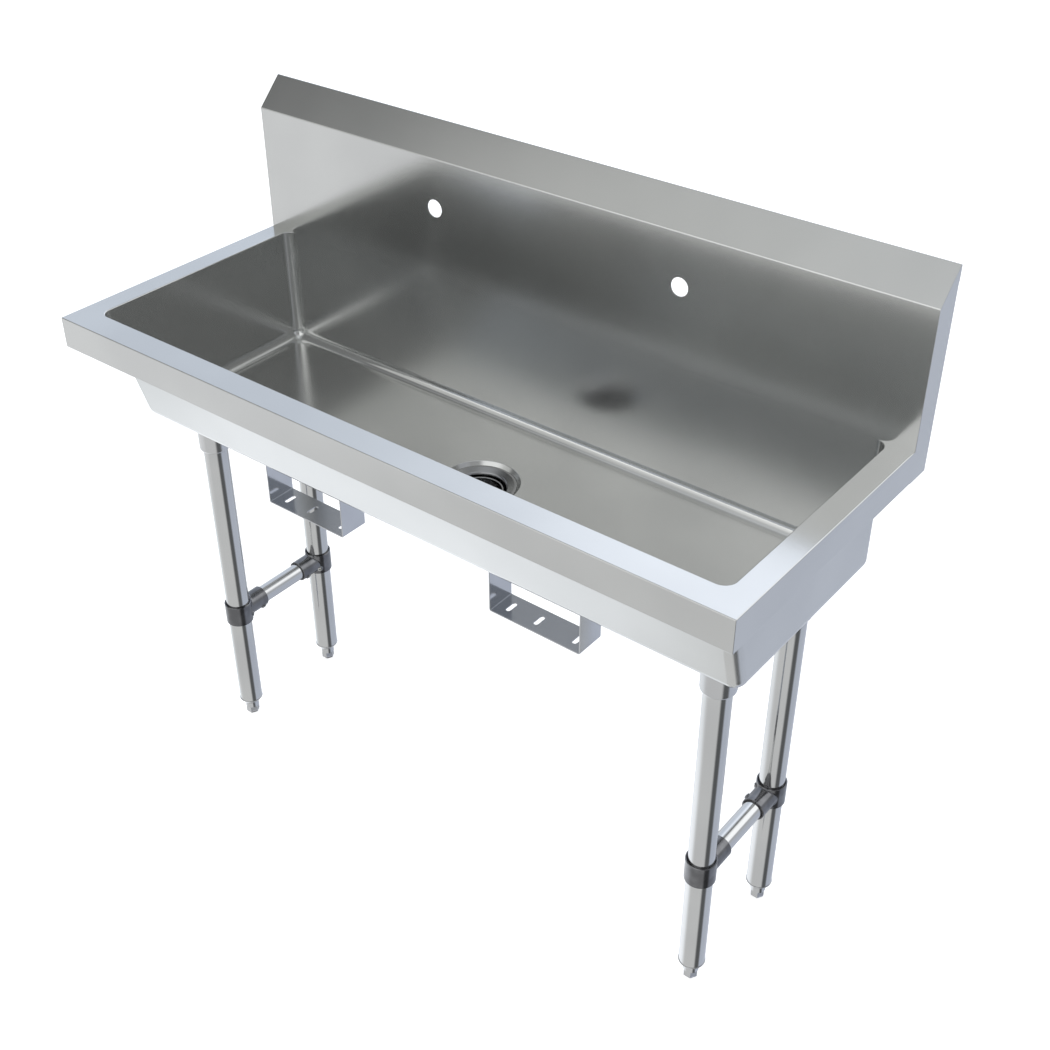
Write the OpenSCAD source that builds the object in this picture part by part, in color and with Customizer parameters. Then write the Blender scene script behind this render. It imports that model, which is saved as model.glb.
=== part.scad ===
// Free-standing two-station trough sink in folded stainless sheet.
// A coved bowl hangs in a rim with turned-down aprons, a splash with closed ends stands
// behind it, and four tube legs with side rails carry it on adjustable feet.
// Frame: X to the right, Y to the back, Z up, origin on the floor below the middle.

/* [Rim] */
// Overall length, left to right
sink_l = 1219; // [1130:1:1500]
// Height of the rim above the floor
rim_h = 878; // [780:1:980]
// Width of the rim in front of the bowl
rim_front_w = 45.5; // [36:0.5:80]
// Height of the turned-down apron
apron_h = 51; // [30:1:80]
// Width of the return folded in under the apron
apron_return_w = 14; // [8:0.5:24]

/* [Sheet] */
// Thickness of the sheet
sheet_t = 1.5; // [1:0.1:2]
// Radius of an open fold, on the middle of the sheet
bend_r = 2.5; // [2:0.1:4]
// Radius of a sharp fold, on the middle of the sheet
edge_r = 1; // [0.8:0.1:1.6]

/* [Bowl] */
// Length of the bowl opening
bowl_l = 1143; // [1080:1:1180]
// Width of the bowl opening, front to back
bowl_w = 406.5; // [380:0.5:480]
// Depth of the bowl below the rim
bowl_d = 203; // [150:1:240]
// Distance by which the front wall leans back at the floor
bowl_rake = 57.5; // [20:0.5:70]
// Inside radius of the coves and corners
cove_r = 18; // [12:0.5:24]

/* [Splash] */
// Height of the splash above the rim
splash_h = 254; // [200:1:330]
// Reach of the 45 degree return at the top
return_run = 47.5; // [30:0.5:60]
// Height of the flange turned down at the back
back_flange_h = 25; // [10:1:40]
// Distance between the two faucet holes
faucet_gap = 457; // [300:1:560]
// Height of the faucet holes above the rim
faucet_h = 128; // [60:1:150]
// Diameter of a faucet hole
faucet_hole_d = 28.6; // [22:0.1:35]

/* [Legs] */
// Distance from the end of the bowl opening to a leg axis
leg_inset_x = 70; // [50:0.5:140]
// Distance from the bowl's front toe or back wall to a leg axis
leg_inset_y = 71.75; // [65:0.25:80]
// Outside diameter of the leg tube
leg_d = 41.3; // [38:0.1:44]
// Wall of the leg and rail tubes
tube_t = 1.5; // [1:0.1:2]
// Height of the leg tube's lower end above the floor
leg_lift = 38.5; // [34:0.5:60]

/* [Leg sockets] */
// Height of the socket below the bowl
socket_h = 76; // [50:1:100]
// Outside diameter of the socket
socket_d = 52; // [50:0.5:60]
// Side of the square plate welded to the bowl
socket_plate_w = 90; // [70:1:96]
// Thickness of that plate
socket_plate_t = 3; // [2:0.1:5]
// Radius of the socket's lower lip
socket_lip_r = 4.5; // [2:0.1:5]

/* [Side rails] */
// Height of the rail axis above the floor
rail_h = 245; // [120:1:420]
// Outside diameter of the rail tube
rail_d = 31.8; // [25:0.1:34]
// Outside diameter of the clamp's collar round the leg
collar_d = 48.5; // [48:0.1:56]
// Height of the collar
collar_h = 41; // [30:0.5:60]
// Outside diameter of the clamp's arm round the rail
arm_d = 39; // [38:0.1:41]
// Reach of the arm from the leg axis
arm_l = 56; // [50:0.5:70]

/* [Feet] */
// Diameter of the foot's nose
nose_d = 25; // [22:0.1:27]
// Height of the nose
nose_h = 33; // [30:0.5:40]
// Size across the flats of the nose
nose_flats = 21; // [18:0.1:21.2]
// Diameter of the threaded stem
stem_d = 16; // [12:0.1:18]
// Length of the stem above the nose
stem_l = 58; // [55:1:80]

/* [Valve brackets] */
// Outside length of a bracket
bracket_l = 163.5; // [140:0.5:200]
// Width of the bracket strip
bracket_w = 50; // [40:0.5:60]
// Drop from the bowl's underside to the bracket's underside
bracket_drop = 80; // [50:1:110]
// Distance from the rim's front edge to the bracket
bracket_setback = 119; // [118:0.5:150]
// Thickness of the strip
bracket_t = 2; // [1.5:0.1:3]
// Length of the foot welded to the bowl
bracket_foot_l = 18; // [12:0.5:24]
// Distance between the outer slots
slot_gap = 120; // [100:1:130]
// Distance from the left slot to the next
slot_step = 51; // [35:0.5:60]
// Length of a slot
slot_l = 22; // [12:0.5:30]
// Width of a slot
slot_w = 7.5; // [5:0.1:10]

/* [Drain] */
// Diameter of the dished recess in the floor
recess_d = 126; // [124:0.5:130]
// Depth of the recess
recess_dep = 6.5; // [5:0.1:8]
// Diameter of the strainer's flange
flange_d = 114; // [112:0.5:115]
// Inside diameter of the strainer's cup
cup_d = 81; // [78:0.5:84]
// Depth below the floor at which the flange has turned into the cup
dish_dep = 12.5; // [12:0.1:14]
// Depth of the cup below the floor
cup_dep = 56; // [52:0.5:60]
// Outside diameter of the threaded outlet
outlet_d = 47.6; // [46.5:0.1:49]
// Length of the threaded outlet
outlet_l = 28; // [20:0.5:40]
// Diameter of the lift-out basket
basket_d = 72.5; // [68:0.5:76]
// Depth of the basket's rim below the floor
basket_drop = 13; // [12:0.5:16]
// Depth of the basket
basket_dep = 30; // [24:0.5:32]

/* [Hidden] */
// Derived places, from the named sizes
$fn = 64;
overrun = 1;
fit_gap = 0.05;
free_gap = 0.3;
bend_steps = 4;
cove_facets = 40;

sink_w = rim_front_w + bowl_w + return_run;
front_y = -sink_w / 2;
back_y = sink_w / 2;
mouth_y = front_y + rim_front_w;
splash_y = mouth_y + bowl_w;
floor_z = rim_h - bowl_d;
under_z = floor_z - sheet_t;
apron_z = rim_h - apron_h;
toe_y = mouth_y + bowl_rake;
drain_y = (toe_y + splash_y) / 2;
leg_front_y = toe_y + leg_inset_y;
leg_back_y = splash_y - leg_inset_y;
leg_x = bowl_l / 2 - leg_inset_x;
leg_r = leg_d / 2;
leg_in_r = leg_r - tube_t;
socket_z = under_z - socket_h;
leg_top_z = under_z - socket_plate_t;
rake_a = atan(bowl_rake / bowl_d);
cove_run = cove_r * tan(45 - rake_a / 2);

// Bend points, sheet outlines and small curves
function unit(v) = v / norm(v);
function arc(x, y, r, from, to, steps) =
    [for (i = [0:steps]) let (a = from + (to - from) * i / steps) [x + r * cos(a), y + r * sin(a)]];
function turn(from, to) = let (d = to - from) d > 180 ? d - 360 : d < -180 ? d + 360 : d;
function fold(before, at, after, r) =
    let (a = unit(before - at), b = unit(after - at), half = acos(a * b) / 2,
         mid = at + unit(a + b) * r / sin(half),
         s = at + a * r / tan(half) - mid, e = at + b * r / tan(half) - mid,
         from = atan2(s[1], s[0]), sweep = turn(from, atan2(e[1], e[0])))
    arc(mid[0], mid[1], r, from, from + sweep, bend_steps);
function folded(path, radii) = concat([path[0]],
    [for (i = [1:len(path) - 2]) each fold(path[i - 1], path[i], path[i + 1], radii[i - 1])],
    [path[len(path) - 1]]);
function left_of(v) = [-v[1], v[0]];
function side(path, reach) = [for (i = [0:len(path) - 1])
    let (a = i > 0 ? unit(path[i] - path[i - 1]) : unit(path[1] - path[0]),
         b = i < len(path) - 1 ? unit(path[i + 1] - path[i]) : a,
         n = unit(left_of(a) + left_of(b)))
    path[i] + n * reach / (n * left_of(a))];
function back_again(path) = [for (i = [len(path) - 1:-1:0]) path[i]];
function sheet(path, radii, t) = let (m = folded(path, radii))
    concat(side(m, t / 2), back_again(side(m, -t / 2)));

// An outline in Y and Z, drawn out along X
module along_x(from, to) {
    translate([from, 0, 0]) rotate([90, 0, 90]) linear_extrude(to - from) children();
}

// An outline in X and Z, drawn out along Y
module along_y(from, to) {
    translate([0, to, 0]) rotate([90, 0, 0]) linear_extrude(to - from) children();
}

// A rectangle with round corners, centred
module round_rect(l, w, r) {
    polygon(concat(arc(l / 2 - r, w / 2 - r, r, 0, 90, 2 * bend_steps),
                   arc(r - l / 2, w / 2 - r, r, 90, 180, 2 * bend_steps),
                   arc(r - l / 2, r - w / 2, r, 180, 270, 2 * bend_steps),
                   arc(l / 2 - r, r - w / 2, r, 270, 360, 2 * bend_steps)));
}

// Puts its child at one of the four legs, side -1 or 1 in X, at a leg axis in Y
module at_leg(side, y) {
    translate([side * leg_x, y, 0]) children();
}

// Rim and aprons: one folded section, mitred at the front corners
deck_leg = max(rim_front_w, (sink_l - bowl_l) / 2) + cove_r;
apron_path = [[apron_return_w, apron_z + sheet_t / 2], [sheet_t / 2, apron_z + sheet_t / 2],
              [sheet_t / 2, rim_h - sheet_t / 2], [deck_leg, rim_h - sheet_t / 2]];
deck_back_y = splash_y + sheet_t;

module apron_section() {
    polygon(sheet(apron_path, [edge_r, edge_r], sheet_t));
}

module deck_front() {
    intersection() {
        along_x(-sink_l / 2, sink_l / 2) translate([front_y, 0]) apron_section();
        translate([0, 0, apron_z - overrun]) linear_extrude(apron_h + 2 * overrun)
            polygon([[-sink_l / 2, front_y], [sink_l / 2, front_y],
                     [sink_l / 2 - deck_leg, front_y + deck_leg],
                     [deck_leg - sink_l / 2, front_y + deck_leg]]);
    }
}

module deck_side() {
    intersection() {
        translate([-sink_l / 2, 0, 0]) along_y(front_y, deck_back_y) apron_section();
        translate([0, 0, apron_z - overrun]) linear_extrude(apron_h + 2 * overrun)
            polygon([[-sink_l / 2, front_y], [deck_leg - sink_l / 2, front_y + deck_leg],
                     [deck_leg - sink_l / 2, deck_back_y], [-sink_l / 2, deck_back_y]]);
    }
}

module bowl_mouth() {
    translate([0, mouth_y + bowl_w / 2]) round_rect(bowl_l, bowl_w, cove_r);
}

module rim() {
    color("gainsboro") difference() {
        union() {
            deck_front();
            deck_side();
            mirror([1, 0, 0]) deck_side();
            translate([-bowl_l / 2, splash_y, rim_h - sheet_t]) cube([bowl_l, sheet_t, sheet_t]);
        }
        translate([0, 0, rim_h - sheet_t - overrun]) linear_extrude(sheet_t + 2 * overrun) bowl_mouth();
    }
}

// Bowl: a hull of four floor spheres and four mouth circles, taken from a larger one
module bowl_form(r, top) {
    end_x = bowl_l / 2 - cove_r;
    hull() {
        for (x = [-end_x, end_x], y = [toe_y + cove_run, splash_y - cove_r])
            translate([x, y, floor_z + cove_r]) sphere(r, $fn = cove_facets);
        for (x = [-end_x, end_x], y = [mouth_y + cove_r, splash_y - cove_r])
            translate([x, y, rim_h]) linear_extrude(top) circle(r, $fn = cove_facets);
    }
}

recess_r = recess_d / 2;
seat_r = flange_d / 2 + free_gap;
seat_z = floor_z - recess_dep;
seat_w = 6.3;
drain_hole_r = seat_r - seat_w;
recess_a = atan(recess_dep / (recess_r - seat_r));
recess_step = sheet_t * tan(recess_a / 2);

module bowl() {
    color("silver") union() {
        difference() {
            bowl_form(cove_r + sheet_t, overrun);
            bowl_form(cove_r, 2 * overrun);
            translate([-sink_l / 2, front_y, rim_h - sheet_t]) cube([sink_l, sink_w, 3 * overrun]);
            translate([0, drain_y, under_z - overrun]) cylinder(r = recess_r, h = sheet_t + 2 * overrun);
        }
        translate([0, drain_y, 0]) rotate_extrude() polygon([
            [drain_hole_r, seat_z], [seat_r, seat_z], [recess_r, floor_z],
            [recess_r + 2 * sheet_t, floor_z], [recess_r + 2 * sheet_t, under_z],
            [recess_r + recess_step, under_z], [seat_r + recess_step, seat_z - sheet_t],
            [drain_hole_r, seat_z - sheet_t]]);
    }
}

// Splash: upright face, 45 degree return and a flange turned down behind
top_fold_z = rim_h + splash_h + edge_r / tan(45 / 2) - edge_r - sheet_t / 2;
face_fold_z = top_fold_z - return_run + sheet_t;
splash_path = [[splash_y + sheet_t / 2, rim_h], [splash_y + sheet_t / 2, face_fold_z],
               [back_y - sheet_t / 2, top_fold_z], [back_y - sheet_t / 2, top_fold_z - back_flange_h]];
splash_folds = [bend_r, edge_r];

module splash() {
    color("lightgray") difference() {
        along_x(-sink_l / 2, sink_l / 2) polygon(sheet(splash_path, splash_folds, sheet_t));
        for (x = [-faucet_gap / 2, faucet_gap / 2])
            translate([x, splash_y - overrun, rim_h + faucet_h]) rotate([-90, 0, 0])
                cylinder(d = faucet_hole_d, h = sheet_t + 2 * overrun);
    }
}

// End panel: closes the splash at one side, shaped by the inner face of its folds
module end_panel(x) {
    color("lightsteelblue") along_x(x, x + sheet_t) polygon(concat(
        side(folded(splash_path, splash_folds), -sheet_t / 2),
        [[back_y - sheet_t, apron_z], [splash_y + sheet_t, apron_z]]));
}

module end_panel_left() {
    end_panel(-sink_l / 2);
}

module end_panel_right() {
    end_panel(sink_l / 2 - sheet_t);
}

// Set screw with a hex socket, its tip at the origin and its head along +X
screw_d = 8;
screw_hex = 4.6;
screw_hex_dep = 3;

module set_screw(l) {
    rotate([0, 90, 0]) difference() {
        cylinder(d = screw_d - 2 * fit_gap, h = l, $fn = 24);
        translate([0, 0, l - screw_hex_dep]) cylinder(d = screw_hex, h = screw_hex_dep + overrun, $fn = 6);
    }
}

// Leg socket: a cup on a plate that is welded to the bowl's underside
socket_r = socket_d / 2;
socket_screw_z = socket_z + socket_h / 2;
plate_corner_r = 8;

module socket_form() {
    difference() {
        union() {
            translate([0, 0, leg_top_z]) linear_extrude(socket_plate_t)
                round_rect(socket_plate_w, socket_plate_w, plate_corner_r);
            rotate_extrude() polygon(concat([[leg_r + fit_gap, leg_top_z], [leg_r + fit_gap, socket_z]],
                arc(socket_r - socket_lip_r, socket_z + socket_lip_r, socket_lip_r, 270, 360, bend_steps),
                [[socket_r, leg_top_z]]));
        }
        translate([0, 0, socket_screw_z]) rotate([0, 90, 0]) cylinder(d = screw_d, h = socket_r + overrun);
    }
}

// The screw of each socket looks away from the front, side 1 to the back
module leg_socket(side, y) {
    color("silver") at_leg(side, y) rotate([0, 0, 90]) socket_form();
}

module leg_socket_front_left() { leg_socket(-1, leg_front_y); }
module leg_socket_front_right() { leg_socket(1, leg_front_y); }
module leg_socket_back_left() { leg_socket(-1, leg_back_y); }
module leg_socket_back_right() { leg_socket(1, leg_back_y); }

module socket_screws() {
    color("dimgray") for (side = [-1, 1], y = [leg_front_y, leg_back_y])
        at_leg(side, y) rotate([0, 0, 90]) translate([leg_r + fit_gap, 0, socket_screw_z])
            set_screw(socket_r - leg_r);
}

// Leg: a plain tube
module leg(side, y) {
    color("whitesmoke") at_leg(side, y) translate([0, 0, leg_lift]) difference() {
        cylinder(r = leg_r, h = leg_top_z - leg_lift);
        translate([0, 0, -overrun]) cylinder(r = leg_in_r, h = leg_top_z - leg_lift + 2 * overrun);
    }
}

module leg_front_left() { leg(-1, leg_front_y); }
module leg_front_right() { leg(1, leg_front_y); }
module leg_back_left() { leg(-1, leg_back_y); }
module leg_back_right() { leg(1, leg_back_y); }

// Foot insert: a plug in the leg's end with a lip, a tapered skirt and the stem's thread
plug_h = 34;
lip_w = 0.8;
lip_h = 2.5;
skirt_h = 8;
nose_r = nose_d / 2;
nose_bore_r = nose_r + free_gap;
skirt_r = nose_bore_r + 1.6;
bore_top_z = leg_lift + 12;
insert_z = leg_lift - lip_h - skirt_h;

module insert_form() {
    rotate_extrude() polygon([
        [stem_d / 2 + fit_gap, leg_lift + plug_h], [stem_d / 2 + fit_gap, bore_top_z],
        [nose_bore_r, bore_top_z], [nose_bore_r, insert_z], [skirt_r, insert_z],
        [leg_r, leg_lift - lip_h], [leg_r + lip_w, leg_lift - lip_h / 2], [leg_r + lip_w, leg_lift],
        [leg_in_r - fit_gap, leg_lift], [leg_in_r - fit_gap, leg_lift + plug_h]]);
}

module foot_insert(side, y) {
    color("silver") at_leg(side, y) insert_form();
}

module foot_insert_front_left() { foot_insert(-1, leg_front_y); }
module foot_insert_front_right() { foot_insert(1, leg_front_y); }
module foot_insert_back_left() { foot_insert(-1, leg_back_y); }
module foot_insert_back_right() { foot_insert(1, leg_back_y); }

// Adjustable foot: a round nose with a hexagon for the wrench low down, on a threaded stem
hex_h = 15;
toe_edge = 2;

module foot_form() {
    rotate_extrude() polygon([[0, 0], [nose_flats / 2 - toe_edge, 0], [nose_flats / 2, toe_edge],
        [nose_flats / 2, hex_h], [nose_r, hex_h], [nose_r, nose_h], [stem_d / 2, nose_h],
        [stem_d / 2, nose_h + stem_l - toe_edge], [stem_d / 2 - toe_edge, nose_h + stem_l],
        [0, nose_h + stem_l]]);
    translate([0, 0, toe_edge]) cylinder(d = nose_flats / cos(30), h = hex_h - toe_edge, $fn = 6);
}

module foot(side, y) {
    color("silver") at_leg(side, y) foot_form();
}

module foot_front_left() { foot(-1, leg_front_y); }
module foot_front_right() { foot(1, leg_front_y); }
module foot_back_left() { foot(-1, leg_back_y); }
module foot_back_right() { foot(1, leg_back_y); }

// Clamp: a cast collar on the leg with an arm that holds the rail, and two screw bosses
collar_r = collar_d / 2;
arm_r = arm_d / 2;
rail_r = rail_d / 2;
mouth_w = 2;
boss_d = 10;
boss_out = 2.6;
collar_screw_a = 40;
collar_screw_drop = 8;
arm_screw_a = 30;
arm_screw_y = 45;
rail_end_gap = 4;
rail_seat_y = collar_r + rail_end_gap;

// Carries its child to the collar's screw, then to the arm's screw
module at_collar_screw() {
    translate([0, 0, -collar_screw_drop]) rotate([0, 0, collar_screw_a]) children();
}

module at_arm_screw() {
    translate([0, arm_screw_y, 0]) rotate([0, arm_screw_a, 0]) children();
}

module clamp_form() {
    difference() {
        union() {
            translate([0, 0, -collar_h / 2]) cylinder(r = collar_r, h = collar_h);
            rotate([-90, 0, 0]) cylinder(r = arm_r, h = arm_l);
            at_collar_screw() rotate([0, 90, 0]) cylinder(d = boss_d, h = collar_r + boss_out, $fn = 32);
            at_arm_screw() rotate([0, 90, 0]) cylinder(d = boss_d, h = arm_r + boss_out, $fn = 32);
        }
        translate([0, 0, -collar_h / 2 - overrun]) cylinder(r = leg_r + fit_gap, h = collar_h + 2 * overrun);
        translate([0, 0, collar_h / 2 - mouth_w])
            cylinder(r1 = leg_r + fit_gap, r2 = leg_r + mouth_w + overrun, h = mouth_w + overrun);
        translate([0, 0, -collar_h / 2 - overrun])
            cylinder(r1 = leg_r + mouth_w + overrun, r2 = leg_r + fit_gap, h = mouth_w + overrun);
        rotate([-90, 0, 0]) translate([0, 0, rail_seat_y])
            cylinder(r = rail_r + fit_gap, h = arm_l - rail_seat_y + overrun);
        rotate([-90, 0, 0]) translate([0, 0, arm_l - mouth_w])
            cylinder(r1 = rail_r + fit_gap, r2 = rail_r + mouth_w + overrun, h = mouth_w + overrun);
        at_collar_screw() rotate([0, 90, 0]) cylinder(d = screw_d, h = collar_r + boss_out + overrun);
        at_arm_screw() rotate([0, 90, 0]) cylinder(d = screw_d, h = arm_r + boss_out + overrun);
    }
}

// One casting serves the left side, and turned over about its arm it serves the right side
module at_clamp(side, front) {
    at_leg(side, front ? leg_front_y : leg_back_y) translate([0, 0, rail_h])
        rotate([0, side > 0 ? 180 : 0, 0]) mirror([0, front ? 0 : 1, 0]) children();
}

module clamp_front_left() { color("slategray") at_clamp(-1, true) clamp_form(); }
module clamp_front_right() { color("slategray") at_clamp(1, true) clamp_form(); }
module clamp_back_left() { color("slategray") at_clamp(-1, false) clamp_form(); }
module clamp_back_right() { color("slategray") at_clamp(1, false) clamp_form(); }

module clamp_screws() {
    color("gainsboro") for (side = [-1, 1], front = [true, false]) at_clamp(side, front) {
        at_collar_screw() translate([leg_r + fit_gap, 0, 0]) set_screw(collar_r + boss_out - leg_r);
        at_arm_screw() translate([rail_r + fit_gap, 0, 0]) set_screw(arm_r + boss_out - rail_r);
    }
}

// Side rail: a tube from one clamp to the other
module rail(side) {
    from = leg_front_y + rail_seat_y;
    to = leg_back_y - rail_seat_y;
    color("whitesmoke") translate([side * leg_x, from, rail_h]) rotate([-90, 0, 0]) difference() {
        cylinder(r = rail_r, h = to - from);
        translate([0, 0, -overrun]) cylinder(r = rail_r - tube_t, h = to - from + 2 * overrun);
    }
}

module rail_left() { rail(-1); }
module rail_right() { rail(1); }

// Valve bracket: a strip folded into a hanging tray, with three slots in its floor
bracket_y = front_y + bracket_setback;
bracket_half = bracket_l / 2 - bracket_t / 2;
bracket_low_z = under_z - bracket_drop + bracket_t / 2;
bracket_path = [[-bracket_half - bracket_foot_l, under_z - bracket_t / 2],
                [-bracket_half, under_z - bracket_t / 2], [-bracket_half, bracket_low_z],
                [bracket_half, bracket_low_z], [bracket_half, under_z - bracket_t / 2],
                [bracket_half + bracket_foot_l, under_z - bracket_t / 2]];

bracket_folds = [bend_r, bend_r, bend_r, bend_r];

module slot() {
    reach = (slot_l - slot_w) / 2;
    polygon(concat(arc(0, reach, slot_w / 2, 0, 180, 3 * bend_steps),
                   arc(0, -reach, slot_w / 2, 180, 360, 3 * bend_steps)));
}

module bracket(x) {
    color("lightslategray") translate([x, 0, 0]) difference() {
        along_y(bracket_y, bracket_y + bracket_w) polygon(sheet(bracket_path, bracket_folds, bracket_t));
        for (slot_x = [-slot_gap / 2, slot_step - slot_gap / 2, slot_gap / 2])
            translate([slot_x, bracket_y + bracket_w / 2, under_z - bracket_drop - overrun])
                linear_extrude(bracket_t + 2 * overrun) slot();
    }
}

module bracket_left() { bracket(-faucet_gap / 2); }
module bracket_right() { bracket(faucet_gap / 2); }

// Strainer body: dished flange, cup and threaded outlet, turned round the drain axis
flange_t = 1.6;
lip_r = 3;
lip_turn = 118;
throat_turn = 62;
throat_r = 5;
cup_wall = 2;
cup_r = cup_d / 2;
cup_out_r = cup_r + cup_wall;
shoulder_r = drain_hole_r - free_gap;
outlet_r = outlet_d / 2;
outlet_wall = 3.2;
outlet_in_r = outlet_r - outlet_wall;
floor_fall = 4;
cup_z = floor_z - cup_dep;
outlet_z = cup_z - floor_fall - outlet_l;
gasket_t = 3;
ring_t = 2;
nut_h = 8;
stack_z = seat_z - sheet_t;
nut_top_z = stack_z - gasket_t - ring_t;

module strainer_body() {
    color("silver") translate([0, drain_y, 0]) rotate_extrude() polygon(concat(
        [[flange_d / 2, seat_z], [flange_d / 2, seat_z + flange_t / 2],
         [flange_d / 2 - flange_t / 2, seat_z + flange_t]],
        arc(flange_d / 2 - 2 * flange_t, seat_z + flange_t - lip_r, lip_r, 90, lip_turn, bend_steps),
        arc(cup_r + throat_r, floor_z - dish_dep, throat_r, 180 - throat_turn, 180, bend_steps),
        [[cup_r, cup_z], [outlet_in_r, cup_z - floor_fall],
         [outlet_in_r, outlet_z], [outlet_r, outlet_z],
         [outlet_r, cup_z - floor_fall - cup_wall], [cup_out_r, cup_z - cup_wall],
         [cup_out_r, nut_top_z], [shoulder_r, stack_z], [shoulder_r, seat_z]]));
}

// Rubber gasket, friction ring and locknut, stacked below the bowl
lug_w = 9;
lug_out = 4;
lug_count = 8;

module washer(in_r, low, h) {
    translate([0, drain_y, low]) difference() {
        cylinder(r = seat_r, h = h);
        translate([0, 0, -overrun]) cylinder(r = in_r, h = h + 2 * overrun);
    }
}

module drain_gasket() {
    color("dimgray") washer(drain_hole_r, stack_z - gasket_t, gasket_t);
}

module friction_ring() {
    color("tan") washer(drain_hole_r, nut_top_z, ring_t);
}

module drain_locknut() {
    color("darkgray") translate([0, drain_y, nut_top_z - nut_h]) difference() {
        union() {
            cylinder(r = seat_r, h = nut_h);
            for (i = [0:lug_count - 1]) rotate([0, 0, 360 * i / lug_count])
                translate([seat_r - lug_out, -lug_w / 2, 0]) cube([2 * lug_out, lug_w, nut_h]);
        }
        translate([0, 0, -overrun]) cylinder(r = cup_out_r + fit_gap, h = nut_h + 2 * overrun);
    }
}

// Basket: a pierced cup with a rubber stopper below and a pull on its post
basket_r = basket_d / 2;
basket_top_z = floor_z - basket_drop;
basket_z = basket_top_z - basket_dep;
basket_t = 1.2;
basket_taper = 4;
post_r = 3;
pull_r = 8;
pull_h = 6;
pull_drop = 5;
stopper_r = outlet_in_r + 3;
basket_slots = 20;
slot_share = 0.5;

module basket() {
    hole_h = basket_dep * slot_share;
    hole_w = 2 * PI * basket_r / basket_slots * slot_share * slot_share;
    color("gainsboro") translate([0, drain_y, 0]) difference() {
        rotate_extrude() polygon([[post_r + fit_gap, basket_z], [basket_r - basket_taper, basket_z],
            [basket_r - basket_t, basket_top_z - basket_t], [basket_r, basket_top_z - basket_t],
            [basket_r, basket_top_z], [basket_r - 2 * basket_t, basket_top_z],
            [basket_r - basket_taper - basket_t, basket_z + basket_t],
            [post_r + fit_gap, basket_z + basket_t]]);
        for (i = [0:basket_slots / 2 - 1]) rotate([0, 0, 360 * i / basket_slots])
            translate([-basket_r - overrun, -hole_w / 2, basket_z + basket_dep * slot_share / 2])
                cube([basket_d + 2 * overrun, hole_w, hole_h]);
        for (i = [0:basket_slots / 2 - 1]) rotate([0, 0, 720 * i / basket_slots])
            translate([basket_r * slot_share, 0, basket_z - overrun])
                cylinder(d = hole_w, h = basket_t + 2 * overrun, $fn = 24);
    }
}

module basket_pull() {
    top = basket_top_z - pull_drop;
    color("gainsboro") translate([0, drain_y, 0]) rotate_extrude() polygon(concat(
        [[0, basket_z], [post_r, basket_z], [post_r, top - pull_h]],
        [[pull_r, top - pull_h], [pull_r, top - pull_h / 2], [pull_r - pull_h / 2, top], [0, top]]));
}

module basket_stopper() {
    fall = floor_fall * (stopper_r - outlet_in_r) / (cup_r - outlet_in_r);
    low = cup_z - floor_fall + fall + free_gap;
    color("dimgray") translate([0, drain_y, low])
        cylinder(r = stopper_r, h = basket_z - low);
}

rim();
bowl();
splash();
end_panel_left();
end_panel_right();
leg_socket_front_left();
leg_socket_front_right();
leg_socket_back_left();
leg_socket_back_right();
socket_screws();
leg_front_left();
leg_front_right();
leg_back_left();
leg_back_right();
foot_insert_front_left();
foot_insert_front_right();
foot_insert_back_left();
foot_insert_back_right();
foot_front_left();
foot_front_right();
foot_back_left();
foot_back_right();
clamp_front_left();
clamp_front_right();
clamp_back_left();
clamp_back_right();
clamp_screws();
rail_left();
rail_right();
bracket_left();
bracket_right();
strainer_body();
drain_gasket();
friction_ring();
drain_locknut();
basket();
basket_pull();
basket_stopper();
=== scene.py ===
import bpy
import bmesh
from math import acos, atan, cos, dist, hypot, inf, pi, radians, sin, sqrt, tan
from mathutils import Matrix, Vector
from mathutils.geometry import tessellate_polygon


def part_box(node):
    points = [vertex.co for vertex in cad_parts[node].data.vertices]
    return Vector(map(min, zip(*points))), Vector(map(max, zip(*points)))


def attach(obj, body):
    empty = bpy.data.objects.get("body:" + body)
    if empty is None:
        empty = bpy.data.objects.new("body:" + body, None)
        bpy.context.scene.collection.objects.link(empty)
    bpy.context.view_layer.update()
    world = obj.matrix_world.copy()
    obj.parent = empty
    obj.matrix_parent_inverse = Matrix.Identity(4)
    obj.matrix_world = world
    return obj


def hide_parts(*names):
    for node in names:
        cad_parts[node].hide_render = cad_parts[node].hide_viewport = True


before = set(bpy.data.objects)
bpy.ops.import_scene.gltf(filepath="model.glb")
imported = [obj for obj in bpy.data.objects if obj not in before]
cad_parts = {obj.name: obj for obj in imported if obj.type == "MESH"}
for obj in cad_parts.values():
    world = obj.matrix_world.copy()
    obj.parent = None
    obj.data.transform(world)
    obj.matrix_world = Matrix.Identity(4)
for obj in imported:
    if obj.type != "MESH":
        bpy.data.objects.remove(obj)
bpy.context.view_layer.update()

print("frame loaded:", len(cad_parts), "nodes")

# Main sizes in millimetres, shared by the pieces
sink = {
    "length": 1219, "rimHeight": 878, "rimFront": 45.5, "apronHeight": 51, "apronReturn": 14,
    "sheet": 1.5, "foldRadius": 1.75, "bowlLength": 1143, "bowlWidth": 406.5, "bowlDepth": 203,
    "rake": 57.5, "cove": 18, "openingEdge": 2, "splashReach": 47.5, "splashHeight": 254,
    "backFlange": 25, "faucetGap": 457, "faucetHeight": 128, "faucetHole": 28.6,
    "legInset": 70, "legGapY": 205.5, "legRadius": 20.65, "tubeWall": 1.5, "railHeight": 245,
}
sheet, rimZ, cove = sink["sheet"], sink["rimHeight"], sink["cove"]
frontY = -(sink["rimFront"] + sink["bowlWidth"] + sink["splashReach"]) / 2
mouthY = frontY + sink["rimFront"]
splashY = mouthY + sink["bowlWidth"]
backY = -frontY
toeY = mouthY + sink["rake"]
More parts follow.
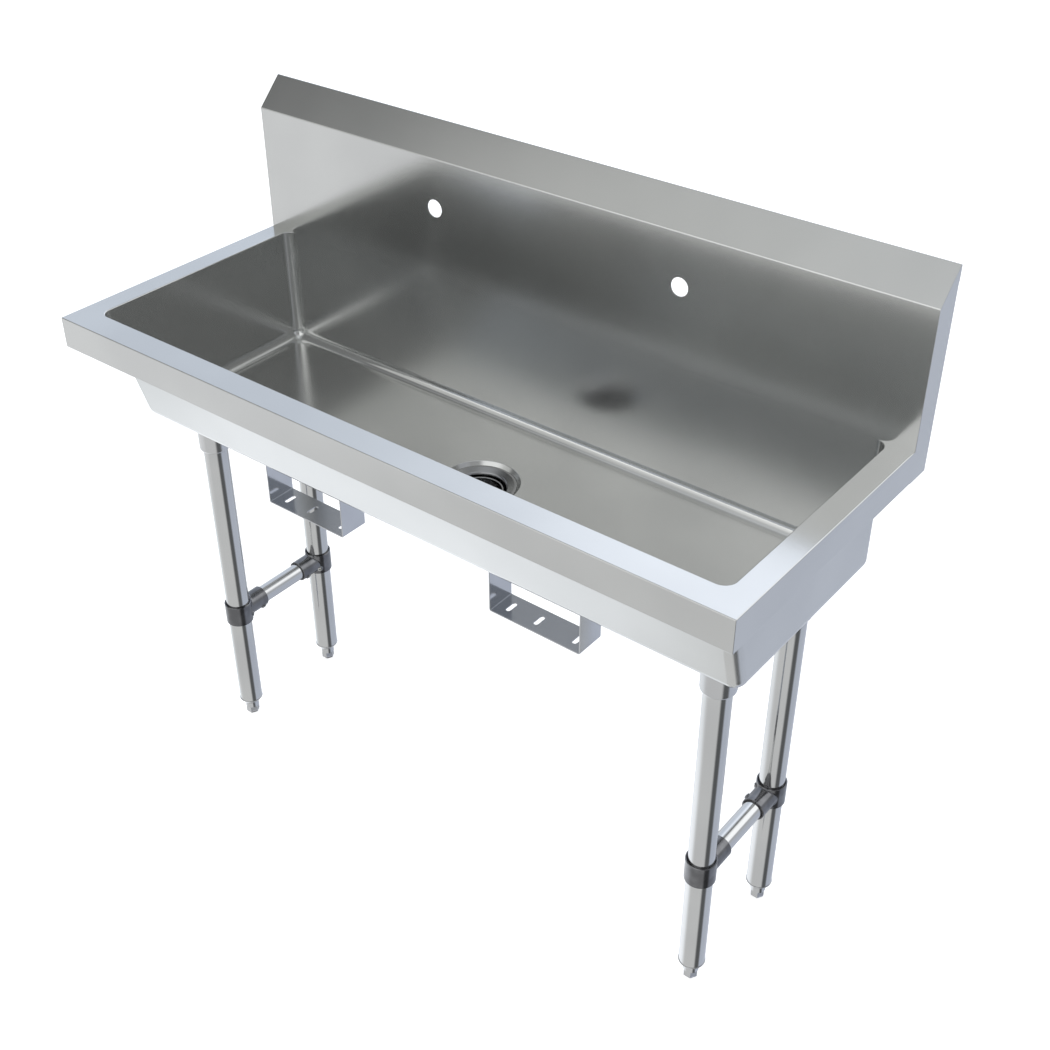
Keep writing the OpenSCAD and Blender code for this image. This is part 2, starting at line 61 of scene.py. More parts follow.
drainY = (toeY + splashY) / 2
floorZ = rimZ - sink["bowlDepth"]
underZ = floorZ - sheet
apronZ = rimZ - sink["apronHeight"]
halfLength = sink["length"] / 2
legX = sink["bowlLength"] / 2 - sink["legInset"]
legPlaces = {end + side: (x, drainY + way * sink["legGapY"] / 2)
             for end, way in (("front_", -1), ("back_", 1)) for side, x in (("left", -legX), ("right", legX))}
legSpots = [(x, y, 0) for x, y in legPlaces.values()]
up, down, left, right = Vector((0, 0, 1)), Vector((0, 0, -1)), Vector((-1, 0, 0)), Vector((1, 0, 0))
front, back = Vector((0, -1, 0)), Vector((0, 1, 0))
unmoved = Matrix.Identity(4)
roundSteps, fineSteps, bossSteps, holeSteps = 96, 128, 40, 32
gridSize, tiny = 500, 1e-6


# Shader maths: a wrapped socket that takes Python operators
class Wire:
    def __init__(self, tree, socket):
        self.tree, self.socket = tree, socket

    def maths(self, operation, other=0.0, flip=False):
        first, second = (other, self) if flip else (self, other)
        return addNode(self.tree, "Math", {0: first, 1: second}, operation=operation)

    def __add__(self, other): return self.maths("ADD", other)
    def __radd__(self, other): return self.maths("ADD", other, True)
    def __sub__(self, other): return self.maths("SUBTRACT", other)
    def __mul__(self, other): return self.maths("MULTIPLY", other)


def addNode(tree, kind, values=None, output=0, **settings):
    made = tree.nodes.new("ShaderNode" + kind)
    for name, value in settings.items():
        setattr(made, name, value)
    for name, value in (values or {}).items():
        if isinstance(value, Wire):
            tree.links.new(value.socket, made.inputs[name])
        else:
            made.inputs[name].default_value = value
    return Wire(tree, made.outputs[output]) if made.outputs else made


def axes(place):
    made = addNode(place.tree, "SeparateXYZ", {0: place})
    return [Wire(place.tree, socket) for socket in made.socket.node.outputs]


def mixColour(tree, share, first, second):
    colours = {i: c if isinstance(c, Wire) else (*c, 1) for i, c in ((6, first), (7, second))}
    return addNode(tree, "Mix", {0: share, **colours}, 2, data_type="RGBA")


def ranged(value, fromLow, fromHigh, toLow=0.0, toHigh=1.0):
    limits = {"From Min": fromLow, "From Max": fromHigh, "To Min": toLow, "To Max": toHigh}
    values = {"Value": value, **limits}
    return addNode(value.tree, "MapRange", values, interpolation_type="SMOOTHSTEP")


def noise(place, scale, detail, roughness=0.5):
    return addNode(place.tree, "TexNoise",
                   {"Vector": place, "Scale": scale, "Detail": detail, "Roughness": roughness})


def coveShare(place):
    # 1 in the bowl's coves, where the pressing has rubbed the grain smooth
    x, y, z = axes(place)
    edge, soft = cove * 0.001, 0.002
    end, rear = sink["bowlLength"] * 0.0005 - edge, splashY * 0.001 - edge
    floorTop = floorZ * 0.001 + edge
    nearEnd = ranged(x.maths("ABSOLUTE"), end - soft, end + soft)
    nearBack = ranged(y, rear - soft, rear + soft)
    nearFloor = ranged(z, floorTop - soft, floorTop + soft, 1.0, 0.0)
    return nearEnd * nearBack + nearBack * nearFloor + nearFloor * nearEnd


def metalSurface(place, s):
    # Metal with a fine drawn grain along one axis, faint clouds and a little handling wear
    stretched = addNode(place.tree, "Mapping", {0: place, 3: s["grainScale"]})
    grain, clouds = noise(stretched, 1.0, 3.0, 0.6), noise(place, s["cloudScale"], 2.0)
    specks = noise(place, s["speckScale"], 4.0, 0.7)
    colour = mixColour(place.tree, ranged(clouds, 0.3, 0.7), s["dark"], s["light"])
    colour = mixColour(place.tree, grain * s["grainColour"], colour, s["dark"])
    rough = (s["roughness"] + (grain - 0.5) * s["grainRough"] + (clouds - 0.5) * s["cloudRough"]
             + (specks - 0.5) * s["speckRough"])
    if "coveRough" in s:
        rough = rough - coveShare(place) * s["coveRough"]
    return colour, rough, grain + specks * s["speckBump"]


def mattSurface(place, s):
    # Rubber and fibre: a mottled matt surface
    mottle = noise(place, s["scale"], 5.0, 0.65)
    colour = mixColour(place.tree, ranged(mottle, 0.35, 0.65), s["dark"], s["light"])
    return colour, s["roughness"] + (mottle - 0.5) * 0.2, mottle


def makeMaterial(name, surface, s):
    made = bpy.data.materials.new(name)
    made.use_nodes = True
    tree = made.node_tree
    shader = tree.nodes["Principled BSDF"]
    colour, rough, height = surface(addNode(tree, "TexCoord", output=3), s)
    values = {"Strength": s["bump"], "Distance": s["bumpSize"], "Height": height}
    bump = addNode(tree, "Bump", values)
    for socket, wire in (("Base Color", colour), ("Roughness", rough), ("Normal", bump)):
        tree.links.new(wire.socket, shader.inputs[socket])
    shader.inputs["Metallic"].default_value = s["metallic"]
    return made


# Finishes: each names only what differs from the common metal or matt surface
commonMetal = {"grainColour": 0.05, "grainRough": 0.06, "cloudRough": 0.03, "speckRough": 0.02, "bump": 0.012,
               "speckBump": 0.3, "bumpSize": 0.0002, "metallic": 1.0}
commonMatt = {"bump": 0.3, "bumpSize": 0.0003, "metallic": 0.0}
sheetFinish = {"dark": (0.576, 0.581, 0.572), "light": (0.621, 0.626, 0.615), "grainScale": (6, 900, 900),
               "cloudScale": 5, "speckScale": 420, "roughness": 0.16, "metallic": 0.94, "grainRough": 0.03,
               "speckRough": 0.01, "bump": 0.003, "speckBump": 0.12}
finishes = {
    "brushedSheet": sheetFinish,
    "pressedSheet": {**sheetFinish, "roughness": 0.187, "coveRough": 0.05},
    "drawnTube": {"dark": (0.57, 0.575, 0.575), "light": (0.61, 0.615, 0.61), "grainScale": (1400, 1400, 9),
                  "cloudScale": 9, "speckScale": 500, "roughness": 0.12, "grainRough": 0.05, "bump": 0.004},
    "turnedSocket": {"dark": (0.56, 0.565, 0.57), "light": (0.61, 0.615, 0.615), "grainScale": (40, 40, 1500),
                     "cloudScale": 14, "speckScale": 600, "grainColour": 0.06, "roughness": 0.14},
    "turnedFoot": {"dark": (0.55, 0.555, 0.56), "light": (0.6, 0.605, 0.61), "grainScale": (60, 60, 2200),
                   "cloudScale": 20, "speckScale": 800, "grainColour": 0.08, "roughness": 0.16,
                   "grainRough": 0.08, "speckRough": 0.03, "bump": 0.08},
    "bracketStrip": {"dark": (0.55, 0.56, 0.575), "light": (0.6, 0.61, 0.625), "grainScale": (12, 1000, 1000),
                     "cloudScale": 12, "speckScale": 500, "roughness": 0.12, "grainRough": 0.05},
    "castClamp": {"dark": (0.145, 0.146, 0.152), "light": (0.215, 0.217, 0.224),
                  "grainScale": (900, 900, 900), "cloudScale": 40, "speckScale": 1500, "grainColour": 0.2,
                  "roughness": 0.17, "cloudRough": 0.05, "speckRough": 0.05, "bump": 0.1, "speckBump": 1.0},
    "brightScrew": {"dark": (0.6, 0.6, 0.59), "light": (0.68, 0.68, 0.67), "grainScale": (1500, 1500, 1500),
                    "cloudScale": 90, "speckScale": 2000, "roughness": 0.22, "cloudRough": 0.04,
                    "speckRough": 0.03, "bump": 0.06, "speckBump": 0.4},
    "spunStrainer": {"dark": (0.33, 0.332, 0.335), "light": (0.38, 0.382, 0.385),
                     "grainScale": (30, 30, 1800), "cloudScale": 16, "speckScale": 700,
                     "grainColour": 0.06, "roughness": 0.14, "grainRough": 0.07, "cloudRough": 0.04,
                     "speckRough": 0.03, "bump": 0.02},
    "dullNut": {"dark": (0.42, 0.4, 0.35), "light": (0.55, 0.53, 0.47), "grainScale": (700, 700, 700),
                "cloudScale": 60, "speckScale": 1600, "grainColour": 0.15, "roughness": 0.34,
                "grainRough": 0.1, "cloudRough": 0.08, "speckRough": 0.08, "bump": 0.2, "speckBump": 0.8},
    "blackRubber": {"dark": (0.012, 0.012, 0.013), "light": (0.03, 0.03, 0.032), "scale": 900,
                    "roughness": 0.62},
    "tanFibre": {"dark": (0.3, 0.2, 0.12), "light": (0.45, 0.33, 0.21), "scale": 1200, "roughness": 0.85},
}
materials = {}
for name, finish in finishes.items():
    common, surface = (commonMatt, mattSurface) if "scale" in finish else (commonMetal, metalSurface)
    materials[name] = makeMaterial(name, surface, {**common, **finish})
print("materials made:", len(materials))


def addPiece(name, mesh):
    piece = bpy.data.objects.new(name, mesh)
    bpy.context.scene.collection.objects.link(piece)
    return piece


def smoothed(mesh, sharpAngle=None):
    mesh.polygons.foreach_set("use_smooth", [True] * len(mesh.polygons))
    if sharpAngle:
        mesh.set_sharp_from_angle(angle=radians(sharpAngle))


# A mesh in the making: points in millimetres, with the exact normal at every face corner
class Skin:
    def __init__(self):
        self.points, self.known, self.faces, self.normals = [], {}, [], []

    def index(self, point):
        key = tuple(round(c * gridSize) for c in point)
        if key not in self.known:
            self.known[key] = len(self.points)
            self.points.append(tuple(c / 1000 for c in point))
        return self.known[key]

    def face(self, corners):
        ids, normals = [], []
        for point, normal in corners:
            i = self.index(point)
            if i not in ids:
                ids.append(i)
                normals.append(Vector(normal))
        if len(ids) < 3:
            return
        places = [Vector(self.points[i]) for i in ids]
        area = Vector((0, 0, 0))
        for i in range(1, len(places) - 1):
            area += (places[i] - places[0]).cross(places[i + 1] - places[0])
        if area.length < 1e-13:
            return
        if area.dot(sum(normals, Vector((0, 0, 0)))) < 0:
            ids.reverse()
            normals.reverse()
        self.faces.append(ids)
        self.normals.extend(n.normalized() for n in normals)

    def grid(self, rows, closed=False):
        for upper, lower in zip(rows, rows[1:]):
            for i in range(len(upper) if closed else len(upper) - 1):
                j = (i + 1) % len(upper)
                self.face([upper[i], upper[j], lower[j], lower[i]])

    def flat(self, loops, normal):
        corners = [Vector(p) for loop in loops for p in loop]
        for triangle in tessellate_polygon([[Vector(p) for p in loop] for loop in loops]):
            self.face([(corners[i], normal) for i in triangle])

    def build(self, name, material):
        mesh = bpy.data.meshes.new(name)
        mesh.from_pydata(self.points, [], self.faces)
        smoothed(mesh)
        mesh.normals_split_custom_set([tuple(n) for n in self.normals])
        mesh.materials.append(materials[material])
        return addPiece(name, mesh)


def ray(angle):
    return cos(angle), sin(angle)


def spokes(steps):
    return [ray(2 * pi * i / steps) for i in range(steps)]


def circle(x, y, radius, steps=roundSteps):
    return [(x + radius * c, y + radius * s) for c, s in spokes(steps)]


def rectangle(near, far, low, high):
    return [(near, low), (far, low), (far, high), (near, high)]


def flatLoop(points, z):
    return [(x, y, z) for x, y in points]


def unit2(a, b):
    d = (b[0] - a[0], b[1] - a[1])
    size = hypot(*d)
    return d[0] / size, d[1] / size


def moved(p, n, reach):
    return p[0] + n[0] * reach, p[1] + n[1] * reach


def flipped(n):
    return -n[0], -n[1]


def foldPoints(before, corner, after, radius, steps):
    # Points of a fold with the left-hand normal at each
    first, second = unit2(before, corner), unit2(corner, after)
    way = 1 if first[0] * second[1] - first[1] * second[0] > 0 else -1
    angle = acos(max(-1, min(1, first[0] * second[0] + first[1] * second[1])))
    if angle < tiny:
        return []
    reach = radius * tan(angle / 2)
    across = (-first[1], first[0])
    centre = moved(moved(corner, first, -reach), across, way * radius)
    made = []
    for i in range(steps + 1):
        c, s = ray(way * angle * i / steps)
        n = (across[0] * c - across[1] * s, across[0] * s + across[1] * c)
        made.append((moved(centre, n, -way * radius), n))
    return made


def sheetOutline(path, radii, thickness, steps=8, edge=0.35, squareStart=False, squareEnd=False):
    # Closed outline of a folded strip, as (point, outward normal); a square end meets another sheet
    middle = []
    for i, radius in enumerate(radii):
        middle += foldPoints(*path[i:i + 3], radius, steps)
    half = thickness / 2

    def end(point, ahead, square):
        side = (-ahead[1], ahead[0])
        if square:
            return [(moved(point, side, half * k), n)
                    for k, n in ((1, side), (1, ahead), (-1, ahead), (-1, flipped(side)))]
        made = []
        for way, angles in ((1, (90, 60, 30, 0)), (-1, (0, -30, -60, -90))):
            centre = moved(moved(point, ahead, -edge), side, way * (half - edge))
            for a in angles:
                c, s = ray(radians(a))
                n = (ahead[0] * c + side[0] * s, ahead[1] * c + side[1] * s)
                made.append((moved(centre, n, edge), n))
        return made

    upper = [(moved(p, n, half), n) for p, n in middle]
    lower = [(moved(p, n, -half), flipped(n)) for p, n in reversed(middle)]
    lastEnd = end(path[-1], unit2(path[-2], path[-1]), squareEnd)
    return upper + lastEnd + lower + end(path[0], unit2(path[1], path[0]), squareStart)


def rounded(points, radii, steps=5):
    # Closed outline as (point, outward normal); each corner has a radius, and 0 is a sharp one
    if sum(points[i - 1][0] * p[1] - p[0] * points[i - 1][1] for i, p in enumerate(points)) < 0:
        points, radii = points[::-1], radii[::-1]
    made = []
    for i, at in enumerate(points):
        before, after = points[i - 1], points[(i + 1) % len(points)]
        if radii[i] == 0:
            for d in (unit2(before, at), unit2(at, after)):
                made.append((at, (d[1], -d[0])))
        else:
            made += [(p, flipped(n)) for p, n in foldPoints(before, at, after, radii[i], steps)]
    return made


def turned(skin, outline, centre, steps=roundSteps, axis="z", closed=True, openRadius=inf):
    # Outline of (radius, height) with normals, turned round an axis; no wall stands at the open radius
    rows = []
    for (r, h), n in outline:
        row = []
        for c, s in spokes(steps):
            p, m = (r * c, r * s, h), (n[0] * c, n[0] * s, n[1])
            if axis == "y":
                p, m = (p[0], p[2], p[1]), (m[0], m[2], m[1])
            row.append(((p[0] + centre[0], p[1] + centre[1], p[2] + centre[2]), m))
        rows.append(row)
    for i in range(len(rows) if closed else len(rows) - 1):
        j = (i + 1) % len(rows)
        if min(outline[i][0][0], outline[j][0][0]) < openRadius - tiny:
            skin.grid([rows[i], rows[j]], True)


def extrude(skin, outline, low, high, axis, soft, skip=()):
    # A solid with rounded rims at both ends; the outline's skipped sides are left open
    def ring(a, end, way):
        inset, w = soft * (1 - cos(a)), end - way * soft * (1 - sin(a))
        c, s = cos(a), sin(a) * way
        return [(axis(*moved(p, n, -inset), w), axis(n[0] * c, n[1] * c, s)) for p, n in outline]

    angles = [radians(30 * i) for i in range(4)]
    lowRows, highRows = [ring(a, low, -1) for a in angles[::-1]], [ring(a, high, 1) for a in angles]
    skin.grid(lowRows, True)
    skin.grid(highRows, True)
    for i in range(len(outline)):
        j = (i + 1) % len(outline)
        if i not in skip:
            skin.face([lowRows[-1][i], lowRows[-1][j], highRows[0][j], highRows[0][i]])
    skin.flat([[p for p, n in lowRows[0]]], axis(0, 0, -1))
    skin.flat([[p for p, n in highRows[-1]]], axis(0, 0, 1))


def alongX(u, v, w):
    return (w, u, v)


def alongY(u, v, w):
    return (u, w, v)


def alongZ(u, v, w):
    return (u, v, w)


def mixed(first, second, share):
    # Direction between two unit vectors, at a share of the turn from one to the other
    angle = first.angle(second)
    if angle < tiny:
        return first.copy()
    return (first * sin((1 - share) * angle) + second * sin(share * angle)) / sin(angle)


def place(piece, body, slotName, *nodes):
    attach(piece, body)
    if nodes:
        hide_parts(*nodes)


stand = "stand"

# Bowl: one pressing with a leaning front, coved edges and a dished drain recess
bowlSizes = {"cornerSteps": 14, "coveSteps": 12, "edgeSteps": 5, "recessRadius": 63, "recessDepth": 6.5,
             "recessEdge": 1.6, "recessMargin": 6, "seatRadius": 57.3, "seatEdge": 1.2, "seatHole": 51,
             "holeEdge": 0.3}


def bowlColumns():
    # Round the opening from its back right corner: (mouth centre, floor centre, wall direction, edge share)
    lean = atan(sink["rake"] / sink["bowlDepth"])
    leaning = Vector((0, -cos(lean), -sin(lean)))
    endX = sink["bowlLength"] / 2 - cove
    backEnd = (splashY - cove,) * 2
    frontEnd = (mouthY + cove, toeY + cove * tan(pi / 4 - lean / 2))
    made = []
    for x, fromWall, toWall, (mouth, floor), shares in (
            (endX, back, right, backEnd, (0, 1)), (endX, right, leaning, frontEnd, (1, 1)),
            (-endX, leaning, left, frontEnd, (1, 1)), (-endX, left, back, backEnd, (1, 0))):
        for i in range(bowlSizes["cornerSteps"] + 1):
            t = i / bowlSizes["cornerSteps"]
            made.append((Vector((x, mouth, 0)), Vector((x, floor, floorZ + cove)),
                         mixed(fromWall, toWall, t), shares[0] + (shares[1] - shares[0]) * t))
    return made


def openingPoint(column):
    # Where the deck ends at this column, and its fold's centre, radius and level direction
    mouth, _, wall, share = column
    outward = Vector((wall.x, wall.y, 0)).normalized()
    radius = max(sink["openingEdge"] * share, 0.0)
    flatPart = sqrt(max(1 - wall.z * wall.z, 1e-9))
    edge = Vector((mouth.x, mouth.y, rimZ)) + outward * cove + outward * (radius * (1 + wall.z) / flatPart)
    return edge, edge - Vector((0, 0, radius)), radius, outward


def makeBowl():
    s = bowlSizes
    skin = Skin()
    columns = bowlColumns()
    shell = cove + sheet
    inner, outer, topRow, underRow = [], [], [], []
    for column in columns:
        mouth, low, wall, _ = column
        edge, centre, radius, outward = openingPoint(column)
        fold = [mixed(up, -wall, i / s["edgeSteps"]) for i in range(s["edgeSteps"] + 1)]
        curve = [mixed(wall, down, i / s["coveSteps"]) for i in range(s["coveSteps"] + 1)]
        inner.append([(centre + n * radius, n) for n in fold] + [(low + n * cove, -n) for n in curve])
        topOuter = Vector((edge.x, edge.y, rimZ - sheet))
        mouthTop = Vector((mouth.x, mouth.y, rimZ)) + outward * shell
        joint = mouthTop + (low + wall * shell - mouthTop) * (sheet / sink["bowlDepth"])
        if (topOuter - joint).dot(outward) < 0:
            topOuter = joint.copy()
        outer.append([(topOuter, down), (joint, down), (joint, wall)] + [(low + n * shell, n) for n in curve])
        topRow.append((edge, outward))
        underRow.append((topOuter, outward))
    for rows in (zip(*inner), zip(*outer), (topRow, underRow)):
        skin.grid([list(row) for row in rows], True)
    # The dished recess is turned round the drain; the floor goes on from its far radius
    rise = atan(s["recessDepth"] / (s["recessRadius"] - s["seatRadius"]))
    step = sheet * tan(rise / 2)
    seat, far = floorZ - s["recessDepth"], s["recessRadius"] + s["recessMargin"]
    points = [(s["seatHole"], seat), (s["seatRadius"], seat), (s["recessRadius"], floorZ), (far, floorZ),
              (far, underZ), (s["recessRadius"] + step, underZ), (s["seatRadius"] + step, seat - sheet),
              (s["seatHole"], seat - sheet)]
    hole, seatEdge, recessEdge = s["holeEdge"], s["seatEdge"], s["recessEdge"]
    outline = rounded(points, [hole, seatEdge, recessEdge, 0, 0, seatEdge, recessEdge, hole])
    turned(skin, outline, (0, drainY, 0), fineSteps, openRadius=far)
    corners = [column[1].xy for column in columns[::s["cornerSteps"] + 1]]
    for z, normal in ((floorZ, up), (underZ, down)):
        skin.flat([flatLoop(corners, z), flatLoop(circle(0, drainY, far, fineSteps), z)], normal)
    return skin.build("bowlPressing", "pressedSheet")


bowlPressing = makeBowl()
place(bowlPressing, stand, "sheet", "bowl")
print("bowl made:", len(bowlPressing.data.polygons), "faces")


# Rim: flat deck with folded aprons on three sides
rimSizes = {"foldSteps": 6, "edge": 0.3, "overlap": 0.01, "cornerShares": (0, 0.25, 0.4999, 0.5, 0.75, 1)}


def makeRim():
    skin = Skin()
    fold, half, overlap = sink["foldRadius"], sheet / 2, rimSizes["overlap"]
    path = [(sink["apronReturn"], apronZ + half), (half, apronZ + half), (half, rimZ - half),
            (fold + overlap, rimZ - half)]
    section = sheetOutline(path, [fold - half] * 2, sheet, rimSizes["foldSteps"], rimSizes["edge"],
                           squareEnd=True)

    def ring(corner, outward, inward, side, least=0):
        # One section: it turns about the corner up to the fold, and runs inwards past it
        made = []
        for (u, z), (nu, nz) in section:
            near = u <= fold + 2 * overlap
            p = corner + (outward * max(fold - u, least) if near else inward * (u - fold))
            n = (outward if near else side) * -nu
            made.append((Vector((p.x, p.y, z)), Vector((n.x, n.y, nz))))
        return made

    endX, frontLine, backLine = halfLength - fold, frontY + fold, splashY + sheet
    rows = [ring(Vector((-endX, backLine, 0)), left, -left, left, -1)]
    for x, first, second in ((-endX, left, front), (endX, front, right)):
        for share in rimSizes["cornerShares"]:
            rows.append(ring(Vector((x, frontLine, 0)), mixed(first, second, share), -(first + second),
                             first if share < 0.5 else second))
    rows.append(ring(Vector((endX, backLine, 0)), right, -right, right, -1))
    skin.grid(rows, True)
    for row in (rows[0], rows[-1]):
        skin.flat([[p for p, n in row]], (0, 1, 0))
    edges = [tuple(openingPoint(column)[0].xy) for column in bowlColumns()]
    outer = [(-endX, splashY), (-endX, frontLine), (endX, frontLine), (endX, splashY)]
    for z, normal in ((rimZ, up), (rimZ - sheet, down)):
        skin.flat([flatLoop(outer + edges, z)], normal)
    return skin.build("rimFolded", "brushedSheet")


rimFolded = makeRim()
place(rimFolded, stand, "sheet", "rim")
print("rim made:", len(rimFolded.data.polygons), "faces")

# Splash: upright face with two faucet holes, leaning return and back flange
splashSizes = {"halfFold": 22.5, "folds": (2.5, 1.0), "soft": 0.3, "holeEdge": 0.4, "holeSteps": 64,
               "longSide": 120, "panelSoft": 0.02}
faceY, flangeY = splashY + sheet / 2, backY - sheet / 2
topFoldZ = rimZ + sink["splashHeight"] + 1 / tan(radians(splashSizes["halfFold"])) - 1 - sheet / 2
splashPath = [(faceY, rimZ), (faceY, topFoldZ - sink["splashReach"] + sheet), (flangeY, topFoldZ),
              (flangeY, topFoldZ - sink["backFlange"])]
stations = (-sink["faucetGap"] / 2, sink["faucetGap"] / 2)


def longSides(outline, across, longest):
    # Sides along one axis and longer than this: index, both ends, place across the axis and normal
    made = []
    for i, ((a, n), (b, _)) in enumerate(zip(outline, outline[1:] + outline[:1])):
        low, high = sorted((a[1 - across], b[1 - across]))
        if abs(a[across] - b[across]) < tiny and high - low > longest:
            made.append((i, low, high, a[across], n))
    return made


def makeSplash():
    s = splashSizes
    skin = Skin()
    outline = sheetOutline(splashPath, s["folds"], sheet, 8, s["soft"], True)
    sides = longSides(outline, 0, s["longSide"])
    extrude(skin, outline, -halfLength, halfLength, alongX, s["soft"], [side[0] for side in sides])
    radius, soft, far = sink["faucetHole"] / 2, s["holeEdge"], splashY + sheet
    wide, beyond, holeZ = radius + soft, radius + 2 * sheet, rimZ + sink["faucetHeight"]
    edge = rounded(rectangle(radius, beyond, splashY, far), [soft, 0, 0, soft])
    edge = sorted((e for e in edge if e[0][0] <= wide + tiny), key=lambda e: e[0][1])
    holes = []
    for x in stations:
        holes.append(circle(x, holeZ, wide, s["holeSteps"]))
        turned(skin, edge, (x, 0, holeZ), s["holeSteps"], "y", False)
    inX = halfLength - s["soft"]
    for _, low, high, y, n in sides:
        loops = (rectangle(-inX, inX, low, high), *holes)
        skin.flat([[(x, y, z) for x, z in loop] for loop in loops], (0, *n))
    return skin.build("splashFolded", "brushedSheet")


place(makeSplash(), stand, "sheet", "splash")


def makeEndPanels():
    skin = Skin()
    near, far = splashY + sheet, backY - sheet
    points = [(near, rimZ)]
    for i, radius in enumerate(splashSizes["folds"]):
        points += [moved(p, n, -sheet / 2) for p, n in foldPoints(*splashPath[i:i + 3], radius, 8)]
    points += [(far, topFoldZ - sink["backFlange"]), (far, apronZ), (near, apronZ)]
    outline = []
    for a, b in zip(points, points[1:] + points[:1]):
        if dist(a, b) > 1e-4:
            d = unit2(a, b)
            outline += [(a, (-d[1], d[0])), (b, (-d[1], d[0]))]
    for low in (-halfLength, halfLength - sheet):
        extrude(skin, outline, low, low + sheet, alongX, splashSizes["panelSoft"])
    return skin.build("endPanels", "brushedSheet")


place(makeEndPanels(), stand, "sheet", "end_panel_left", "end_panel_right")
print("splash and end panels made")


def settled(holder, name, spare=()):
    # The evaluated shape becomes a plain mesh at the origin, and its makers are removed
    bpy.context.view_layer.update()
    ready = holder.evaluated_get(bpy.context.evaluated_depsgraph_get())
    mesh = bpy.data.meshes.new_from_object(ready)
    mesh.name = name
    made = addPiece(name, mesh)
    for old in [holder, *spare]:
        bpy.data.objects.remove(old)
    return made


def throughNodes(holder, name, inputs, nodes, links, material, spare=()):
    # Runs a holder through a Geometry Nodes tree; what reaches "real" is realized, painted and settled
    tree = bpy.data.node_groups.new(name, "GeometryNodeTree")
    socket = tree.interface.new_socket
    socket("Geometry", in_out="INPUT", socket_type="NodeSocketGeometry")
    socket("Geometry", in_out="OUTPUT", socket_type="NodeSocketGeometry")
    modifier = holder.modifiers.new(name, "NODES")
    inputs = {**inputs, "Finish": ("Material", materials[material])}
    keys = {label: socket(label, in_out="INPUT", socket_type="NodeSocket" + kind).identifier
            for label, (kind, _) in inputs.items()}
    nodes = {"entry": ("NodeGroupInput",), "leave": ("NodeGroupOutput",), **nodes,
             "real": ("RealizeInstances",), "paint": ("SetMaterial",)}
    made = {}
    for label, spec in nodes.items():
        kind, settings, values = (*spec, {}, {})[:3]
        made[label] = tree.nodes.new(kind if "Node" in kind else "GeometryNode" + kind)
        for key, value in settings.items():
            setattr(made[label], key, value)
        for key, value in values.items():
            made[label].inputs[key].default_value = value
    for link in (*links, "real:Geometry > paint:Geometry", "entry:Finish > paint:Material",
                 "paint:Geometry > leave:Geometry"):
        (fromNode, outlet), (toNode, inlet) = (part.split(":") for part in link.split(" > "))
        tree.links.new(made[fromNode].outputs[int(outlet) if outlet.isdigit() else outlet],
                       made[toNode].inputs[int(inlet) if inlet.isdigit() else inlet])
    modifier.node_group = tree
    for label, (_, value) in inputs.items():
        modifier[keys[label]] = value
    return settled(holder, name, spare)


def copies(name, piece, places, material, turns=None):
    # Copies of a piece at points in millimetres, each with its own turn, joined into one mesh
    mesh = bpy.data.meshes.new(name + "Points")
    mesh.from_pydata([tuple(c / 1000 for c in p) for p in places], [], [])
    turnData = mesh.attributes.new("turn", "FLOAT_VECTOR", "POINT")
    for i, turn in enumerate(turns or [(0, 0, 0)] * len(places)):
        turnData.data[i].vector = turn
    return throughNodes(
        addPiece(name + "Holder", mesh), name, {"Piece": ("Object", piece)},
        {"source": ("ObjectInfo",), "spread": ("InstanceOnPoints",),
         "turn": ("InputNamedAttribute", {"data_type": "FLOAT_VECTOR"}, {"Name": "turn"})},
        ("entry:Piece > source:Object", "entry:Geometry > spread:Points", "source:Geometry > spread:Instance",
         "turn:Attribute > spread:Rotation", "spread:Instances > real:Geometry"), material, [piece])


def atLegs(name, outline, material):
    # The same turned piece at each leg
    skin = Skin()
    turned(skin, outline, (0, 0, 0))
    return copies(name, skin.build(name + "Pattern", material), legSpots, material)


# Legs and rails: drawn tube
tubeSizes = {"legLow": 38.5, "legTop": 670.5, "edge": 0.4, "railRadius": 15.9, "railGap": 28.25,
             "railSteps": 80}


def tubeOutline(outer, low, high):
    inner = outer - sink["tubeWall"]
    return rounded(rectangle(inner, outer, low, high), [tubeSizes["edge"]] * 4)


def makeRails():
    skin = Skin()
    outline = tubeOutline(tubeSizes["railRadius"], legPlaces["front_left"][1] + tubeSizes["railGap"],
                          legPlaces["back_left"][1] - tubeSizes["railGap"])
    for x in (-legX, legX):
        turned(skin, outline, (x, 0, sink["railHeight"]), tubeSizes["railSteps"], "y")
    return skin.build("sideRails", "drawnTube")


legOutline = tubeOutline(sink["legRadius"], tubeSizes["legLow"], tubeSizes["legTop"])
place(atLegs("legTubes", legOutline, "drawnTube"), stand, "tube", *["leg_" + n for n in legPlaces])
place(makeRails(), stand, "tube", "rail_left", "rail_right")
print("legs and rails made")

# Leg sockets: turned cup with a round lip, on a welded plate
socketSizes = {"height": 76, "radius": 26, "lip": 4.5, "mouth": 0.5, "plate": 90, "plateThick": 3,
               "plateCorner": 8, "plateSoft": 0.5, "bore": 20.7, "weld": 2.88, "weldSink": 0.2}


